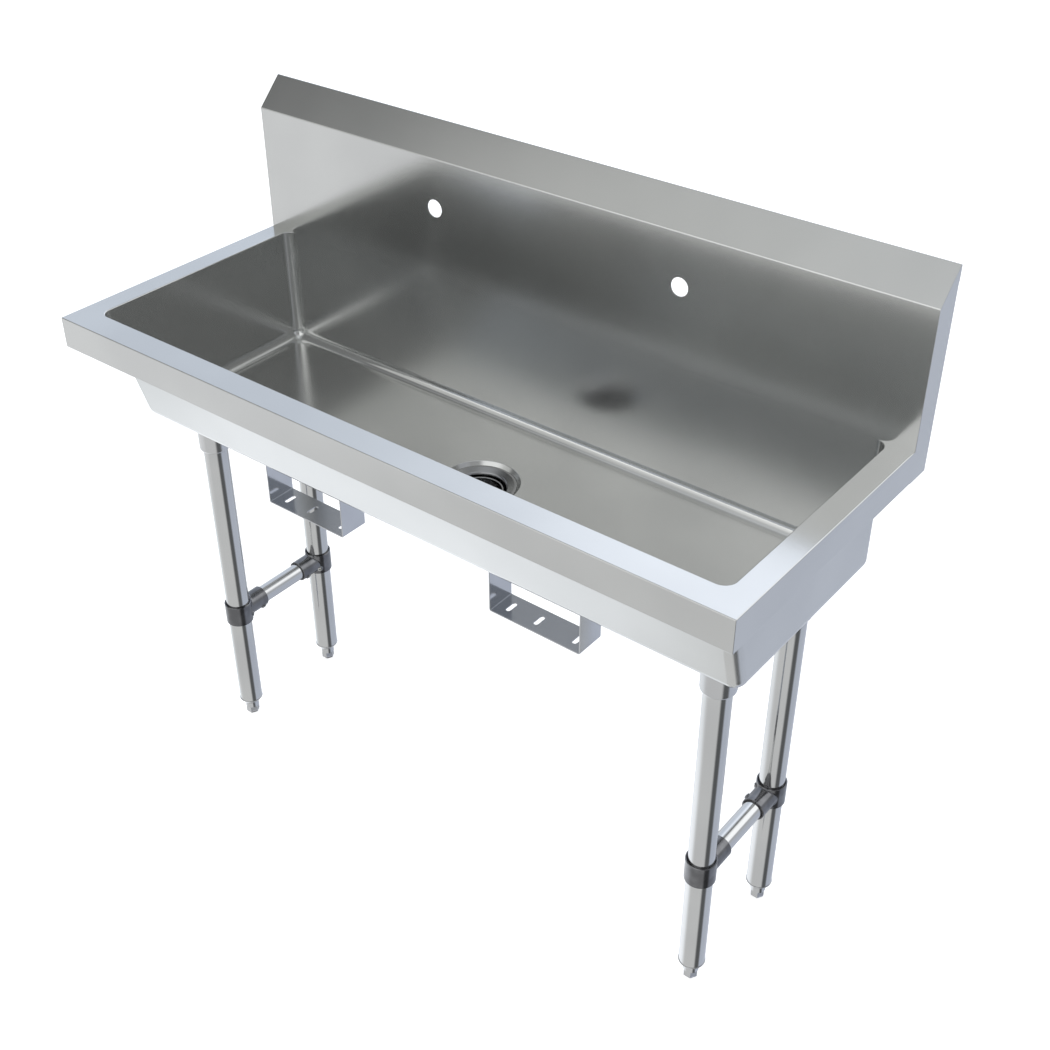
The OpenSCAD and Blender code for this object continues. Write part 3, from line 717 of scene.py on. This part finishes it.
def makeSockets():
    skin = Skin()
    s = socketSizes
    low, high = underZ - s["height"], underZ - s["plateThick"]
    cup = rounded(rectangle(s["bore"], s["radius"], low, high), [s["mouth"], s["lip"], 0, 0])
    turned(skin, cup, (0, 0, 0))
    centre = (s["radius"] - s["weldSink"], high + s["weldSink"])
    bead = [(centre, (-0.7, 0.7))]
    for n in [ray(radians(-a)) for a in range(0, 91, 15)]:
        bead.append((moved(centre, n, s["weld"]), n))
    turned(skin, bead, (0, 0, 0))
    half = s["plate"] / 2
    plate = rounded(rectangle(-half, half, -half, half), [s["plateCorner"]] * 4, 8)
    extrude(skin, plate, high, underZ, alongZ, s["plateSoft"])
    return copies("legSockets", skin.build("socketPattern", "turnedSocket"), legSpots, "turnedSocket")


place(makeSockets(), stand, "socket", *["leg_socket_" + n for n in legPlaces])


def loftSolid(name, rings):
    # A closed solid through rings of points in metres
    made = bmesh.new()
    loops = [[made.verts.new(p) for p in ring] for ring in rings]
    for a, b in zip(loops, loops[1:]):
        for i in range(len(a)):
            j = (i + 1) % len(a)
            made.faces.new((a[i], a[j], b[j], b[i]))
    made.faces.new(loops[0])
    made.faces.new(loops[-1])
    bmesh.ops.recalc_face_normals(made, faces=made.faces)
    mesh = bpy.data.meshes.new(name)
    made.to_mesh(mesh)
    made.free()
    return addPiece(name, mesh)


# Set screws: a turned grub screw whose end has a hexagon recess with sloping lips
screwSizes = {"radius": 3.95, "tip": 2.6, "tipLength": 1.2, "end": 0.5, "round": 0.15, "hex": 2.5,
              "lip": 0.35, "deep": 2.6, "sides": 36, "sharp": 28, "length": 6.2, "gap": 0.05,
              "collarAngle": 40, "collarDrop": 8, "collarRadius": 24.25, "armAngle": 30, "armReach": 45,
              "armRadius": 19.5, "boss": 2.6}


def hexScrew(name, length):
    s = screwSizes

    def ring(radius, x, six=False):
        made = []
        for i, (c, d) in enumerate(spokes(s["sides"])):
            a = 2 * pi * i / s["sides"]
            r = radius * cos(pi / 6) / cos((a % (pi / 3)) - pi / 6) if six else radius
            made.append((x / 1000, r * c / 1000, r * d / 1000))
        return made

    r, hexR, lip = s["radius"], s["hex"], s["lip"]
    piece = loftSolid(name, [ring(s["tip"], 0), ring(r, s["tipLength"]), ring(r, length - s["end"]),
                             ring(r - s["round"], length - s["round"]), ring(r - s["end"], length),
                             ring(hexR + lip, length, True), ring(hexR, length - lip, True),
                             ring(hexR, length - s["deep"], True)])
    smoothed(piece.data, s["sharp"])
    return piece


one = hexScrew("socketScrewPattern", socketSizes["radius"] - sink["legRadius"])
places = [(x, y + sink["legRadius"] + screwSizes["gap"], underZ - socketSizes["height"] / 2)
          for x, y in legPlaces.values()]
socketScrews = copies("socketScrews", one, places, "brightScrew", [(0, 0, pi / 2)] * 4)
place(socketScrews, stand, "screw", "socket_screws")

clampTurns = {}
for legName, (x, y) in legPlaces.items():
    spin = Matrix.Rotation(pi if x > 0 else 0, 4, "Y")
    flip = Matrix.Diagonal((1, 1 if "front" in legName else -1, 1, 1))
    clampTurns[legName] = Matrix.Translation((x / 1000, y / 1000, sink["railHeight"] / 1000)) @ spin @ flip


def makeClampScrews():
    s = screwSizes
    collar, arm = radians(s["collarAngle"]), radians(s["armAngle"])
    inset = s["boss"] - s["length"]
    starts = [(Vector((0, 0, -s["collarDrop"])), Vector((cos(collar), sin(collar), 0)), s["collarRadius"]),
              (Vector((0, s["armReach"], 0)), Vector((cos(arm), 0, -sin(arm))), s["armRadius"])]
    places, turns = [], []
    for frameAt in clampTurns.values():
        for start, way, radius in starts:
            places.append(tuple(frameAt @ ((start + way * (radius + inset)) / 1000) * 1000))
            aim = (frameAt.to_3x3() @ way).normalized()
            turns.append(tuple(right.rotation_difference(aim).to_euler()))
    return copies("clampScrews", hexScrew("clampScrewPattern", s["length"]), places, "brightScrew", turns)


place(makeClampScrews(), stand, "screw", "clamp_screws")
print("sockets and screws made")

# Clamps: castings with blended arm, bosses and eased mouths
clampSizes = {"collarHeight": 41, "armReach": 56, "bossRadius": 5, "voxel": 0.001, "smooth": 8, "ease": 0.5,
              "chamfer": 0.7, "bore": 20.7, "railBore": 15.95, "seat": 28.25, "spare": 4, "flare": 5,
              "past": 3, "screwHole": 4, "bossPast": 9, "endWide": 0.4, "endPast": 6, "sharp": 32}


def ringMesh(rings, matrix, steps):
    # A closed solid turned through (radius, height) rings
    return loftSolid("tool", [[matrix @ Vector((r * c / 1000, r * s / 1000, z / 1000))
                               for c, s in spokes(steps)] for r, z in rings])


def cylinderMesh(radius, low, high, matrix, steps=roundSteps, flareLow=0, flareHigh=0):
    rings = [(radius + flareLow, low)] + [(radius, low + flareLow)] * bool(flareLow)
    rings += [(radius, high - flareHigh)] * bool(flareHigh) + [(radius + flareHigh, high)]
    return ringMesh(rings, matrix, steps)


def endCutter(radius, end, way, wide, matrix):
    # Faces off the casting at this height and leaves a chamfer round it
    c, past, outer = clampSizes["chamfer"], clampSizes["endPast"], radius + wide
    rings = [(radius - c, end), (outer, end - way * (c + wide)), (outer, end + way * past)]
    return ringMesh(rings, matrix, fineSteps)


def cut(target, operation, tools):
    for tool in tools:
        modifier = target.modifiers.new(operation, "BOOLEAN")
        modifier.operation, modifier.solver, modifier.object = operation, "EXACT", tool


def makeClampPattern():
    s, p = clampSizes, screwSizes
    half, reach, past, flare = s["collarHeight"] / 2, s["armReach"], s["past"], s["flare"]
    collar, arm, boss, hole = p["collarRadius"], p["armRadius"], s["bossRadius"], s["screwHole"]
    sideways, toX = Matrix.Rotation(radians(-90), 4, "X"), Matrix.Rotation(radians(90), 4, "Y")
    collarBoss = (Matrix.Translation((0, 0, -p["collarDrop"] / 1000))
                  @ Matrix.Rotation(radians(p["collarAngle"]), 4, "Z") @ toX)
    armBoss = (Matrix.Translation((0, p["armReach"] / 1000, 0))
               @ Matrix.Rotation(radians(p["armAngle"]), 4, "Y") @ toX)
    body = cylinderMesh(collar, -half - s["spare"], half + s["spare"], unmoved)
    tools = [cylinderMesh(arm, 0, reach + s["spare"], sideways),
             cylinderMesh(boss, 0, collar + p["boss"], collarBoss, bossSteps),
             cylinderMesh(boss, 0, arm + p["boss"], armBoss, bossSteps)]
    cut(body, "UNION", tools)
    remesh = body.modifiers.new("remesh", "REMESH")
    remesh.mode, remesh.voxel_size, remesh.use_smooth_shade = "VOXEL", s["voxel"], True
    ease = body.modifiers.new("ease", "SMOOTH")
    ease.factor, ease.iterations = s["ease"], s["smooth"]
    body = settled(body, "clampEased", tools)
    tools = [endCutter(collar, half, 1, s["endWide"], unmoved),
             endCutter(collar, -half, -1, s["endWide"], unmoved),
             endCutter(arm, reach, 1, s["spare"], sideways),
             cylinderMesh(s["bore"], -half - past, half + past, unmoved, flareLow=flare, flareHigh=flare),
             cylinderMesh(s["railBore"], s["seat"], reach + past, sideways, flareHigh=flare),
             cylinderMesh(hole, 0, collar + s["bossPast"], collarBoss, holeSteps),
             cylinderMesh(hole, 0, arm + s["bossPast"], armBoss, holeSteps)]
    cut(body, "DIFFERENCE", tools)
    body = settled(body, "clampPattern", tools)
    smoothed(body.data, s["sharp"])
    return body


clampPattern = makeClampPattern()
for legName, frameAt in clampTurns.items():
    mesh = clampPattern.data.copy()
    mesh.name = "clamp" + legName
    mesh.transform(frameAt)
    if frameAt.determinant() < 0:
        mesh.flip_normals()
    mesh.materials.clear()
    mesh.materials.append(materials["castClamp"])
    place(addPiece("clampCasting_" + legName, mesh), stand, "casting", "clamp_" + legName)
print("clamps made:", len(clampPattern.data.polygons), "faces each")
bpy.data.objects.remove(clampPattern)

# Feet: turned nose with wrench flats on a threaded stem, in a plug with a lip
footSizes = {"noseRadius": 12.5, "noseHeight": 33, "noseEdge": 0.5, "noseTop": 1, "flats": 10.5,
             "hexHeight": 15, "stem": 8, "stemLength": 58, "stemEnd": 0.4, "toe": 2, "threadPitch": 2,
             "threadDepth": 0.7}


def makeFoot(name, x, y):
    skin = Skin()
    f = footSizes
    toe, nose, stem, pitch, flats = f["toe"], f["noseRadius"], f["stem"], f["threadPitch"], f["flats"]
    under, slopeUnder, side, slopeTop, top = (0, -1), (0.7, -0.7), (1, 0), (0.7, 0.7), (0, 1)
    low, high, tip = f["hexHeight"], f["noseHeight"], f["noseHeight"] + f["stemLength"]
    rows = []
    for r, z, n in ((flats - toe, 0, under), (flats - toe, 0, slopeUnder), (flats, toe, slopeUnder),
                    (flats, toe, side), (flats, low, side)):
        row = []
        for i in range(6):
            c, s = ray(pi / 6 + pi / 3 * i)
            for share in (0.0, 1.0):
                cornerC, cornerS = ray(pi / 6 + pi / 3 * (i + share - 0.5))
                reach = r / cos(pi / 6)
                row.append(((x + reach * cornerC, y + reach * cornerS, z), (n[0] * c, n[0] * s, n[1])))
        rows.append(row)
    skin.grid(rows, True)
    skin.flat([[p for p, n in rows[0]][::2]], down)
    inner, shoulder = nose - f["noseEdge"], nose - f["noseTop"]
    skin.flat([flatLoop(circle(x, y, inner), low), [p for p, n in rows[-1]][::2]], down)
    # Corners of the turned outline, each with the directions of the surfaces that meet there
    outline = [((inner, low), under, slopeUnder), ((nose, low + f["noseEdge"]), slopeUnder, side),
               ((nose, high - f["noseTop"]), side, slopeTop), ((shoulder, high), slopeTop, top),
               ((stem, high), top, side)]
    z = high
    while z + pitch < tip - toe:
        outline += [((stem - f["threadDepth"], z + pitch / 2), (0.8, 0.6), (0.8, -0.6)),
                    ((stem, z + pitch), (0.8, -0.6), (0.8, 0.6))]
        z += pitch
    outline += [((stem - f["stemEnd"], tip - toe), side, slopeTop), ((stem - toe, tip), slopeTop, top),
                ((0, tip), top)]
    turned(skin, [(p, n) for p, *directions in outline for n in directions], (x, y, 0), closed=False)
    return skin.build(name, "turnedFoot")


for legName, (x, y) in legPlaces.items():
    place(makeFoot("levelFoot_" + legName, x, y), "foot_" + legName, "foot", "foot_" + legName)

insertSizes = {"lipWidth": 0.8, "lipHeight": 2.5, "skirtHeight": 8, "skirtRadius": 14.4, "bore": 12.8,
               "boreTop": 50.5, "plugTop": 72.5, "stemBore": 8.05, "gap": 0.05,
               "edges": [0.4, 0.3, 0.3, 0.4, 0.5, 1.2, 0.6, 0.3, 0.1, 0.6]}


def insertOutline():
    s = insertSizes
    leg, low = sink["legRadius"], tubeSizes["legLow"]
    inner, lip = leg - sink["tubeWall"] - s["gap"], low - s["lipHeight"]
    return rounded([(s["stemBore"], s["plugTop"]), (s["stemBore"], s["boreTop"]), (s["bore"], s["boreTop"]),
                  (s["bore"], lip - s["skirtHeight"]), (s["skirtRadius"], lip - s["skirtHeight"]), (leg, lip),
                  (leg + s["lipWidth"], low - s["lipHeight"] / 2), (leg + s["lipWidth"], low), (inner, low),
                  (inner, s["plugTop"])], s["edges"])


footInserts = atLegs("footInserts", insertOutline(), "turnedFoot")
place(footInserts, stand, "foot", *["foot_insert_" + n for n in legPlaces])
print("feet made")

# Valve brackets: folded strip with three slots in its floor
bracketSizes = {"length": 163.5, "width": 50, "drop": 80, "setback": 119, "thick": 2, "foot": 18, "fold": 2.5,
                "soft": 0.4, "slots": (-60, -9, 60), "slotLength": 22, "slotWidth": 7.5, "slotEdge": 0.35}


def slotLoop(x, y, radius, reach, steps=12):
    # Round-ended upright slot: points with their outward directions
    made = []
    for way, half in ((1, 0), (-1, pi)):
        for i in range(steps + 1):
            c, s = ray(pi * i / steps + half)
            made.append(((x + radius * c, y + way * reach + radius * s), (c, s)))
    return made


def makeBrackets():
    b = bracketSizes
    skin = Skin()
    t, soft, e = b["thick"], b["soft"], b["slotEdge"]
    half, highZ, lowZ = b["length"] / 2 - t / 2, underZ - t / 2, underZ - b["drop"] + t / 2
    path = [(-half - b["foot"], highZ), (-half, highZ), (-half, lowZ), (half, lowZ), (half, highZ),
            (half + b["foot"], highZ)]
    outline = sheetOutline(path, [b["fold"]] * 4, t, 8, soft)
    fromY, toY = frontY + b["setback"], frontY + b["setback"] + b["width"]
    middle, radius, reach = (fromY + toY) / 2, b["slotWidth"] / 2, (b["slotLength"] - b["slotWidth"]) / 2
    topZ, bottomZ = lowZ + t / 2, lowZ - t / 2
    levels = ((e, topZ, 90), (e * 0.3, topZ - e * 0.3, 45), (0, topZ - e, 0), (0, bottomZ + e, 0),
              (e * 0.3, bottomZ + e * 0.3, -45), (e, bottomZ, -90))
    for shift in stations:
        moved = [((p[0] + shift, p[1]), n) for p, n in outline]
        sides = longSides(moved, 1, splashSizes["longSide"])
        extrude(skin, moved, fromY, toY, alongY, soft, [side[0] for side in sides])
        loops = [[p for p, n in slotLoop(shift + s, middle, radius + e, reach)] for s in b["slots"]]
        for _, low, high, z, n in sides:
            near, far = fromY + soft, toY - soft
            corners = rectangle(low, high, near, far)
            skin.flat([flatLoop(loop, z) for loop in (corners, *loops)], (0, 0, n[1]))
        for s in b["slots"]:
            rows = []
            for grow, z, tilt in levels:
                c, d = ray(radians(tilt))
                rows.append([((*p, z), (-n[0] * c, -n[1] * c, d))
                             for p, n in slotLoop(shift + s, middle, radius + grow, reach)])
            skin.grid(rows, True)
    return skin.build("valveBrackets", "bracketStrip")


place(makeBrackets(), stand, "sheet", "bracket_left", "bracket_right")
print("brackets made")

# Drain: strainer body, gasket, ring, locknut, thread and lift-out basket
drainSizes = {"flange": 57, "flangeThick": 1.6, "lip": 3, "lipTurn": 118, "throatTurn": 62, "throat": 5,
              "cup": 40.5, "cupWall": 2, "dish": 12.5, "cupDepth": 56, "fall": 4, "outlet": 23.8,
              "outletWall": 3.2, "outletLength": 28, "gasket": 3, "ring": 2, "nut": 8, "nutGap": 0.05,
              "shoulder": 50.7, "edges": [0.2, 0.7, 3, 4.5, 3, 2, 0.5, 0.8, 1.5, 2, 0.5, 0.5, 0.2],
              "threadRoot": 0.8, "threadCentre": 0.75, "threadPitch": 2.2, "threadWidth": 0.72,
              "threadStart": 1, "threadEnd": 3, "nutEdges": [0.6, 1, 1, 0.6], "lugs": 8, "lugReach": 4,
              "lugHalf": 4.5, "lugEdges": [0.5, 1.5, 1.5, 0.5], "lugSoft": 0.7}
seatZ = floorZ - bowlSizes["recessDepth"]
stackZ = seatZ - sheet
nutTopZ = stackZ - drainSizes["gasket"] - drainSizes["ring"]
cupZ = floorZ - drainSizes["cupDepth"]


def onDrain(name, points, radii, material, steps=fineSteps):
    skin = Skin()
    turned(skin, rounded(points, radii), (0, drainY, 0), steps)
    return skin.build(name, material)


def makeStrainer():
    d = drainSizes
    cup, outer = d["cup"], d["outlet"] - d["threadRoot"]
    cupOut, outIn, outletZ = cup + d["cupWall"], d["outlet"] - d["outletWall"], cupZ - d["fall"]
    endZ, topZ = outletZ - d["outletLength"], seatZ + d["flangeThick"]
    lipTurn, bend = radians(d["lipTurn"]), radians(180 - d["throatTurn"])
    lipEnd = (d["flange"] - 2 * d["flangeThick"] + d["lip"] * cos(lipTurn),
              topZ - d["lip"] + d["lip"] * sin(lipTurn))
    throat = (cup + d["throat"] + d["throat"] * cos(bend), floorZ - d["dish"] + d["throat"] * sin(bend))
    slope = (throat[1] - lipEnd[1]) / (throat[0] - lipEnd[0])
    points = [(d["flange"], seatZ), (d["flange"], topZ), (lipEnd[0] + (topZ - lipEnd[1]) / slope, topZ),
              (cup, lipEnd[1] + (cup - lipEnd[0]) * slope), (cup, cupZ), (outIn, outletZ), (outIn, endZ),
              (outer, endZ), (outer, outletZ - d["cupWall"]), (cupOut, cupZ - d["cupWall"]),
              (cupOut, nutTopZ), (d["shoulder"], stackZ), (d["shoulder"], seatZ)]
    return onDrain("strainerBody", points, d["edges"], "spunStrainer")


def makeThread():
    # A helix of thread round the outlet
    d = drainSizes
    low = cupZ - d["fall"] - d["outletLength"] + d["threadStart"]
    high = cupZ - d["fall"] - d["cupWall"] - d["threadEnd"]
    mesh = bpy.data.meshes.new("threadHolder")
    mesh.from_pydata([(0, 0, 0)], [], [])
    inputs = {"Radius": ("Float", (d["outlet"] - d["threadCentre"]) / 1000),
              "Height": ("Float", (high - low) / 1000), "Turns": ("Float", (high - low) / d["threadPitch"]),
              "Width": ("Float", d["threadWidth"] / 1000)}
    made = throughNodes(
        addPiece("threadHolder", mesh), "outletThread", inputs,
        {"spiral": ("CurveSpiral", {}, {"Resolution": 48}),
         "profile": ("CurvePrimitiveCircle", {}, {"Resolution": 6}),
         "sweep": ("CurveToMesh", {}, {"Fill Caps": True}),
         "shift": ("Transform", {}, {"Translation": (0, drainY / 1000, low / 1000)})},
        ("entry:Radius > spiral:Start Radius", "entry:Radius > spiral:End Radius",
         "entry:Height > spiral:Height", "entry:Turns > spiral:Rotations", "entry:Width > profile:Radius",
         "spiral:Curve > sweep:Curve", "profile:Curve > sweep:Profile Curve", "sweep:Mesh > shift:Geometry",
         "shift:Geometry > real:Geometry"),
        "spunStrainer")
    smoothed(made.data)
    return made


def makeNut():
    d = drainSizes
    seat, bore, low = bowlSizes["seatRadius"], d["cup"] + d["cupWall"] + d["nutGap"], nutTopZ - d["nut"]
    ring = onDrain("drainNut", rectangle(bore, seat, low, nutTopZ), d["nutEdges"], "dullNut")
    skin = Skin()
    near, far, half = seat - d["lugReach"], seat + d["lugReach"], d["lugHalf"]
    outline = rounded(rectangle(near, far, -half, half), d["lugEdges"])
    extrude(skin, outline, low, nutTopZ, alongZ, d["lugSoft"])
    lug = skin.build("lugPattern", "dullNut")
    turns = [(0, 0, radians(360 / d["lugs"] * i)) for i in range(d["lugs"])]
    return ring, copies("drainNutLugs", lug, [(0, drainY, 0)] * d["lugs"], "dullNut", turns)


place(makeStrainer(), stand, "strainer", "strainer_body")
place(makeThread(), stand, "strainer")
for name, low, high, material, slotName, node, edge in (
        ("drainGasket", stackZ - drainSizes["gasket"], stackZ, "blackRubber", "rubber", "drain_gasket", 0.8),
        ("frictionRing", nutTopZ, nutTopZ + drainSizes["ring"], "tanFibre", "fibre", "friction_ring", 0.3)):
    hole, seat = bowlSizes["seatHole"], bowlSizes["seatRadius"]
    ring = onDrain(name, rectangle(hole, seat, low, high), [edge] * 4, material)
    place(ring, stand, slotName, node)
nut, lugs = makeNut()
place(nut, stand, "nut", "drain_locknut")
place(lugs, stand, "nut")
print("drain made")

basketSizes = {"radius": 36.25, "drop": 13, "depth": 30, "wall": 1.2, "taper": 4, "post": 3, "postGap": 0.05,
               "edges": [0.2, 3, 0.3, 0.5, 0.5, 0.8, 2, 0.2], "pull": 8, "pullHeight": 6, "pullDrop": 5,
               "pullEdges": [0, 0.3, 1, 1, 2.8, 0], "slots": 20, "slotRise": 7.5, "slotHigh": 15,
               "slotWide": 2.8, "holes": 10, "holeRadius": 1.4, "holeRing": 0.5, "holeSteps": 16,
               "cutDepth": 10, "cutPast": 3, "smallSteps": 64, "stopperEdge": 1.2, "sharp": 35}
basketTopZ = floorZ - basketSizes["drop"]
basketZ = basketTopZ - basketSizes["depth"]


def pierced(name, cup, cutter, count, material):
    # Cuts a ring of openings through a cup, one cutter at each place round the drain's axis
    made = throughNodes(
        cup, name, {"Cutter": ("Object", cutter), "Openings": ("Int", count)},
        {"spots": ("Points", {}, {"Position": (0, drainY / 1000, 0)}),
         "number": ("InputIndex",), "share": ("ShaderNodeMath", {"operation": "DIVIDE"}),
         "angle": ("ShaderNodeMath", {"operation": "MULTIPLY"}, {1: 2 * pi}),
         "turn": ("ShaderNodeCombineXYZ",), "source": ("ObjectInfo",),
         "spread": ("InstanceOnPoints",), "tools": ("RealizeInstances",),
         "pierce": ("MeshBoolean", {"operation": "DIFFERENCE", "solver": "EXACT"})},
        ("entry:Openings > spots:Count", "number:0 > share:0", "entry:Openings > share:1",
         "share:0 > angle:0", "angle:0 > turn:Z", "entry:Cutter > source:Object", "spots:0 > spread:Points",
         "source:Geometry > spread:Instance", "turn:0 > spread:Rotation", "spread:Instances > tools:Geometry",
         "entry:Geometry > pierce:Mesh 1", "tools:Geometry > pierce:Mesh 2", "pierce:Mesh > real:Geometry"),
        material, [cutter])
    smoothed(made.data, basketSizes["sharp"])
    return made


def slotCutter(name, low, high, half, near, far):
    skin = Skin()
    outline = slotLoop(0, (low + high) / 2, half, (high - low) / 2 - half, 8)
    for a, b in zip(outline, outline[1:] + outline[:1]):
        skin.face([((x, *p), (0, *n)) for x, (p, n) in ((near, a), (near, b), (far, b), (far, a))])
    for x, way in ((near, -1), (far, 1)):
        skin.flat([[(x, *p) for p, n in outline]], (way, 0, 0))
    return skin.build(name, "spunStrainer")


def makeBasket():
    b = basketSizes
    r, t, post = b["radius"], b["wall"], b["post"]
    hole, foot = post + b["postGap"], r - b["taper"]
    points = [(hole, basketZ), (foot, basketZ), (r - t, basketTopZ - t), (r, basketTopZ - t),
              (r, basketTopZ), (r - 2 * t, basketTopZ), (foot - t, basketZ + t), (hole, basketZ + t)]
    cup = onDrain("basketCup", points, b["edges"], "spunStrainer", roundSteps)
    slotLow = basketZ + b["slotRise"]
    cutter = slotCutter("slotTool", slotLow, slotLow + b["slotHigh"], b["slotWide"] / 2, r - b["cutDepth"],
                        r + b["cutPast"])
    cup = pierced("basketSides", cup, cutter, b["slots"], "spunStrainer")
    drill = Matrix.Translation((r * b["holeRing"] / 1000, 0, 0))
    past = b["cutPast"]
    cutter = cylinderMesh(b["holeRadius"], basketZ - past, basketZ + past, drill, b["holeSteps"])
    cup = pierced("liftBasket", cup, cutter, b["holes"], "spunStrainer")
    place(cup, "lift_out_basket", "strainer", "basket")
    top = basketTopZ - b["pullDrop"]
    grip = top - b["pullHeight"]
    points = [(0, basketZ), (post, basketZ), (post, grip), (b["pull"], grip), (b["pull"], top), (0, top)]
    pull = onDrain("basketPull", points, b["pullEdges"], "spunStrainer", b["smallSteps"])
    place(pull, "lift_out_basket", "strainer", "basket_pull")
    low, high = (corner * 1000 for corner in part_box("basket_stopper"))
    wide, edge = (high.x - low.x) / 2, b["stopperEdge"]
    outline = rectangle(0, wide, low.z, high.z)
    plug = onDrain("basketStopper", outline, [0, edge, edge, 0], "blackRubber", b["smallSteps"])
    place(plug, "lift_out_basket", "rubber", "basket_stopper")


makeBasket()
print("basket made")

# Studio: painted surroundings for the metal, white for the camera
studio = {
    "neutral": (0.78, 0.785, 0.79), "overhead": (0.72, 0.74, 0.76), "shade": (0.17, 0.172, 0.174),
    "sideShade": (0.37, 0.375, 0.38), "frontWindow": (1.28, 1.29, 1.3), "frontEdge": (0.71, 0.72, 0.71),
    "frontSpan": (-66, -56, 24, 40), "sideSpan": (18, 34, 88, 104), "frontFade": (-48, -18),
    "overheadFade": (47, 66), "neutralFade": (3, 12),
}
# Soft-edged panels: colour, middle azimuth, half width, softness, lowest, highest, softness, in degrees
panels = {
    "leftWindow": ((0.83, 0.905, 1.035), -126, 22, 16, 2, 43, 11),
    "backWindow": ((1.42, 1.5, 1.66), -172, 20, 22, 4, 42, 12),
    "rightWindow": ((0.6, 0.62, 0.66), 115, 30, 16, 2, 60, 14),
    "rightUpper": ((0.45, 0.465, 0.49), 122, 34, 16, 44, 60, 12),
    "railWindow": ((1.55, 1.57, 1.6), 148, 18, 12, 26, 46, 10),
    "frontLow": ((1.62, 1.62, 1.62), -22, 14, 6, 14, 25, 7),
    "frontDusk": ((0.42, 0.42, 0.42), -25, 22, 12, -2, 7, 3),
    "lowLeft": ((1.08, 1.12, 1.16), -105, 22, 34, -70, -4, 8),
    "nearLeft": ((0.95, 0.96, 0.98), -62, 20, 25, -30, -4, 4),
    "steepLeft": ((1.31, 1.35, 1.41), -95, 20, 45, -60, -46, 6),
    "lowBack": ((0.66, 0.69, 0.76), -150, 18, 12, -56, -10, 8),
    "lowRight": ((0.63, 0.675, 0.78), 142, 46, 8, -80, -4, 6),
    "accent": ((0.14, 0.145, 0.15), 77.5, 11, 17, -62, -8, 6),
}
world = bpy.data.worlds.new("studio")
bpy.context.scene.world = world
world.use_nodes = True
tree = world.node_tree
tree.nodes.clear()
wireX, wireY, wireZ = axes(addNode(tree, "TexCoord"))
azimuth = wireX.maths("ARCTAN2", wireY * -1.0) * (180 / pi)
elevation = wireZ.maths("ARCSINE") * (180 / pi)


def panelShare(centre, half, soft, low, high, softHigh):
    away = addNode(tree, "Math", {0: azimuth - centre, 1: 180.0, 2: -180.0}, operation="WRAP")
    return (ranged(away.maths("ABSOLUTE"), half, half + soft, 1.0, 0.0)
            * ranged(elevation, low - softHigh, low) * ranged(elevation, high, high + softHigh, 1.0, 0.0))


def spanShare(low, lowFull, highFull, high):
    return ranged(azimuth, low, lowFull) * ranged(azimuth, highFull, high, 1.0, 0.0)


frontFade = ranged(azimuth, *studio["frontFade"])
frontColour = mixColour(tree, frontFade, studio["frontEdge"], studio["frontWindow"])
upper = mixColour(tree, spanShare(*studio["sideSpan"]), studio["shade"], studio["sideShade"])
upper = mixColour(tree, spanShare(*studio["frontSpan"]), upper, frontColour)
upper = mixColour(tree, ranged(elevation, *studio["overheadFade"]), upper, studio["overhead"])
painted = mixColour(tree, ranged(elevation, *studio["neutralFade"]), studio["neutral"], upper)
for colour, *spec in panels.values():
    painted = mixColour(tree, panelShare(*spec), painted, colour)
seen = mixColour(tree, addNode(tree, "LightPath"), painted, (1, 1, 1))
background = addNode(tree, "Background", {"Color": seen, "Strength": 1.0})
addNode(tree, "OutputWorld", {0: background})

# Floor: white where nothing shades it, and it keeps the soft shadow
floorSettings = {"size": 16, "glow": 0.6, "colour": (0.9, 0.9, 0.9, 1)}
bpy.ops.mesh.primitive_plane_add(size=floorSettings["size"])
floor = bpy.context.object
floor.name = "studioFloor"
floor.visible_glossy = False
floorMaterial = bpy.data.materials.new("studioFloor")
floorMaterial.use_nodes = True
tree = floorMaterial.node_tree
tree.nodes.clear()
glow = addNode(tree, "Emission", {"Color": (1, 1, 1, 1), "Strength": floorSettings["glow"]})
matt = addNode(tree, "BsdfDiffuse", {"Color": floorSettings["colour"]})
both = addNode(tree, "AddShader", {0: matt, 1: glow})
shown = addNode(tree, "MixShader", {0: addNode(tree, "LightPath"), 1: matt, 2: both})
addNode(tree, "OutputMaterial", {0: shown})
floor.data.materials.append(floorMaterial)

# Camera at the photograph's angle
view = {"place": (1.2121, -1.3975, 1.8989), "azimuth": 38.252, "elevation": 34.898, "roll": -0.106,
        "lens": 49.67}
az, el, roll = (radians(view[k]) for k in ("azimuth", "elevation", "roll"))
backward = Vector((sin(az) * cos(el), -cos(az) * cos(el), sin(el)))
rightward = Vector((cos(az), sin(az), 0))
upward = backward.cross(rightward)
rightward, upward = (rightward * cos(roll) + upward * sin(roll),
                     upward * cos(roll) - rightward * sin(roll))
cameraData = bpy.data.cameras.new("camera")
cameraData.lens, cameraData.sensor_width, cameraData.sensor_height = view["lens"], 36, 36
cameraData.sensor_fit = "HORIZONTAL"
camera = addPiece("camera", cameraData)
turnMatrix = Matrix((rightward, upward, backward)).transposed().to_4x4()
camera.matrix_world = Matrix.Translation(view["place"]) @ turnMatrix
bpy.context.scene.camera = camera
bpy.context.scene.view_settings.view_transform = "Standard"
print("studio and camera set")
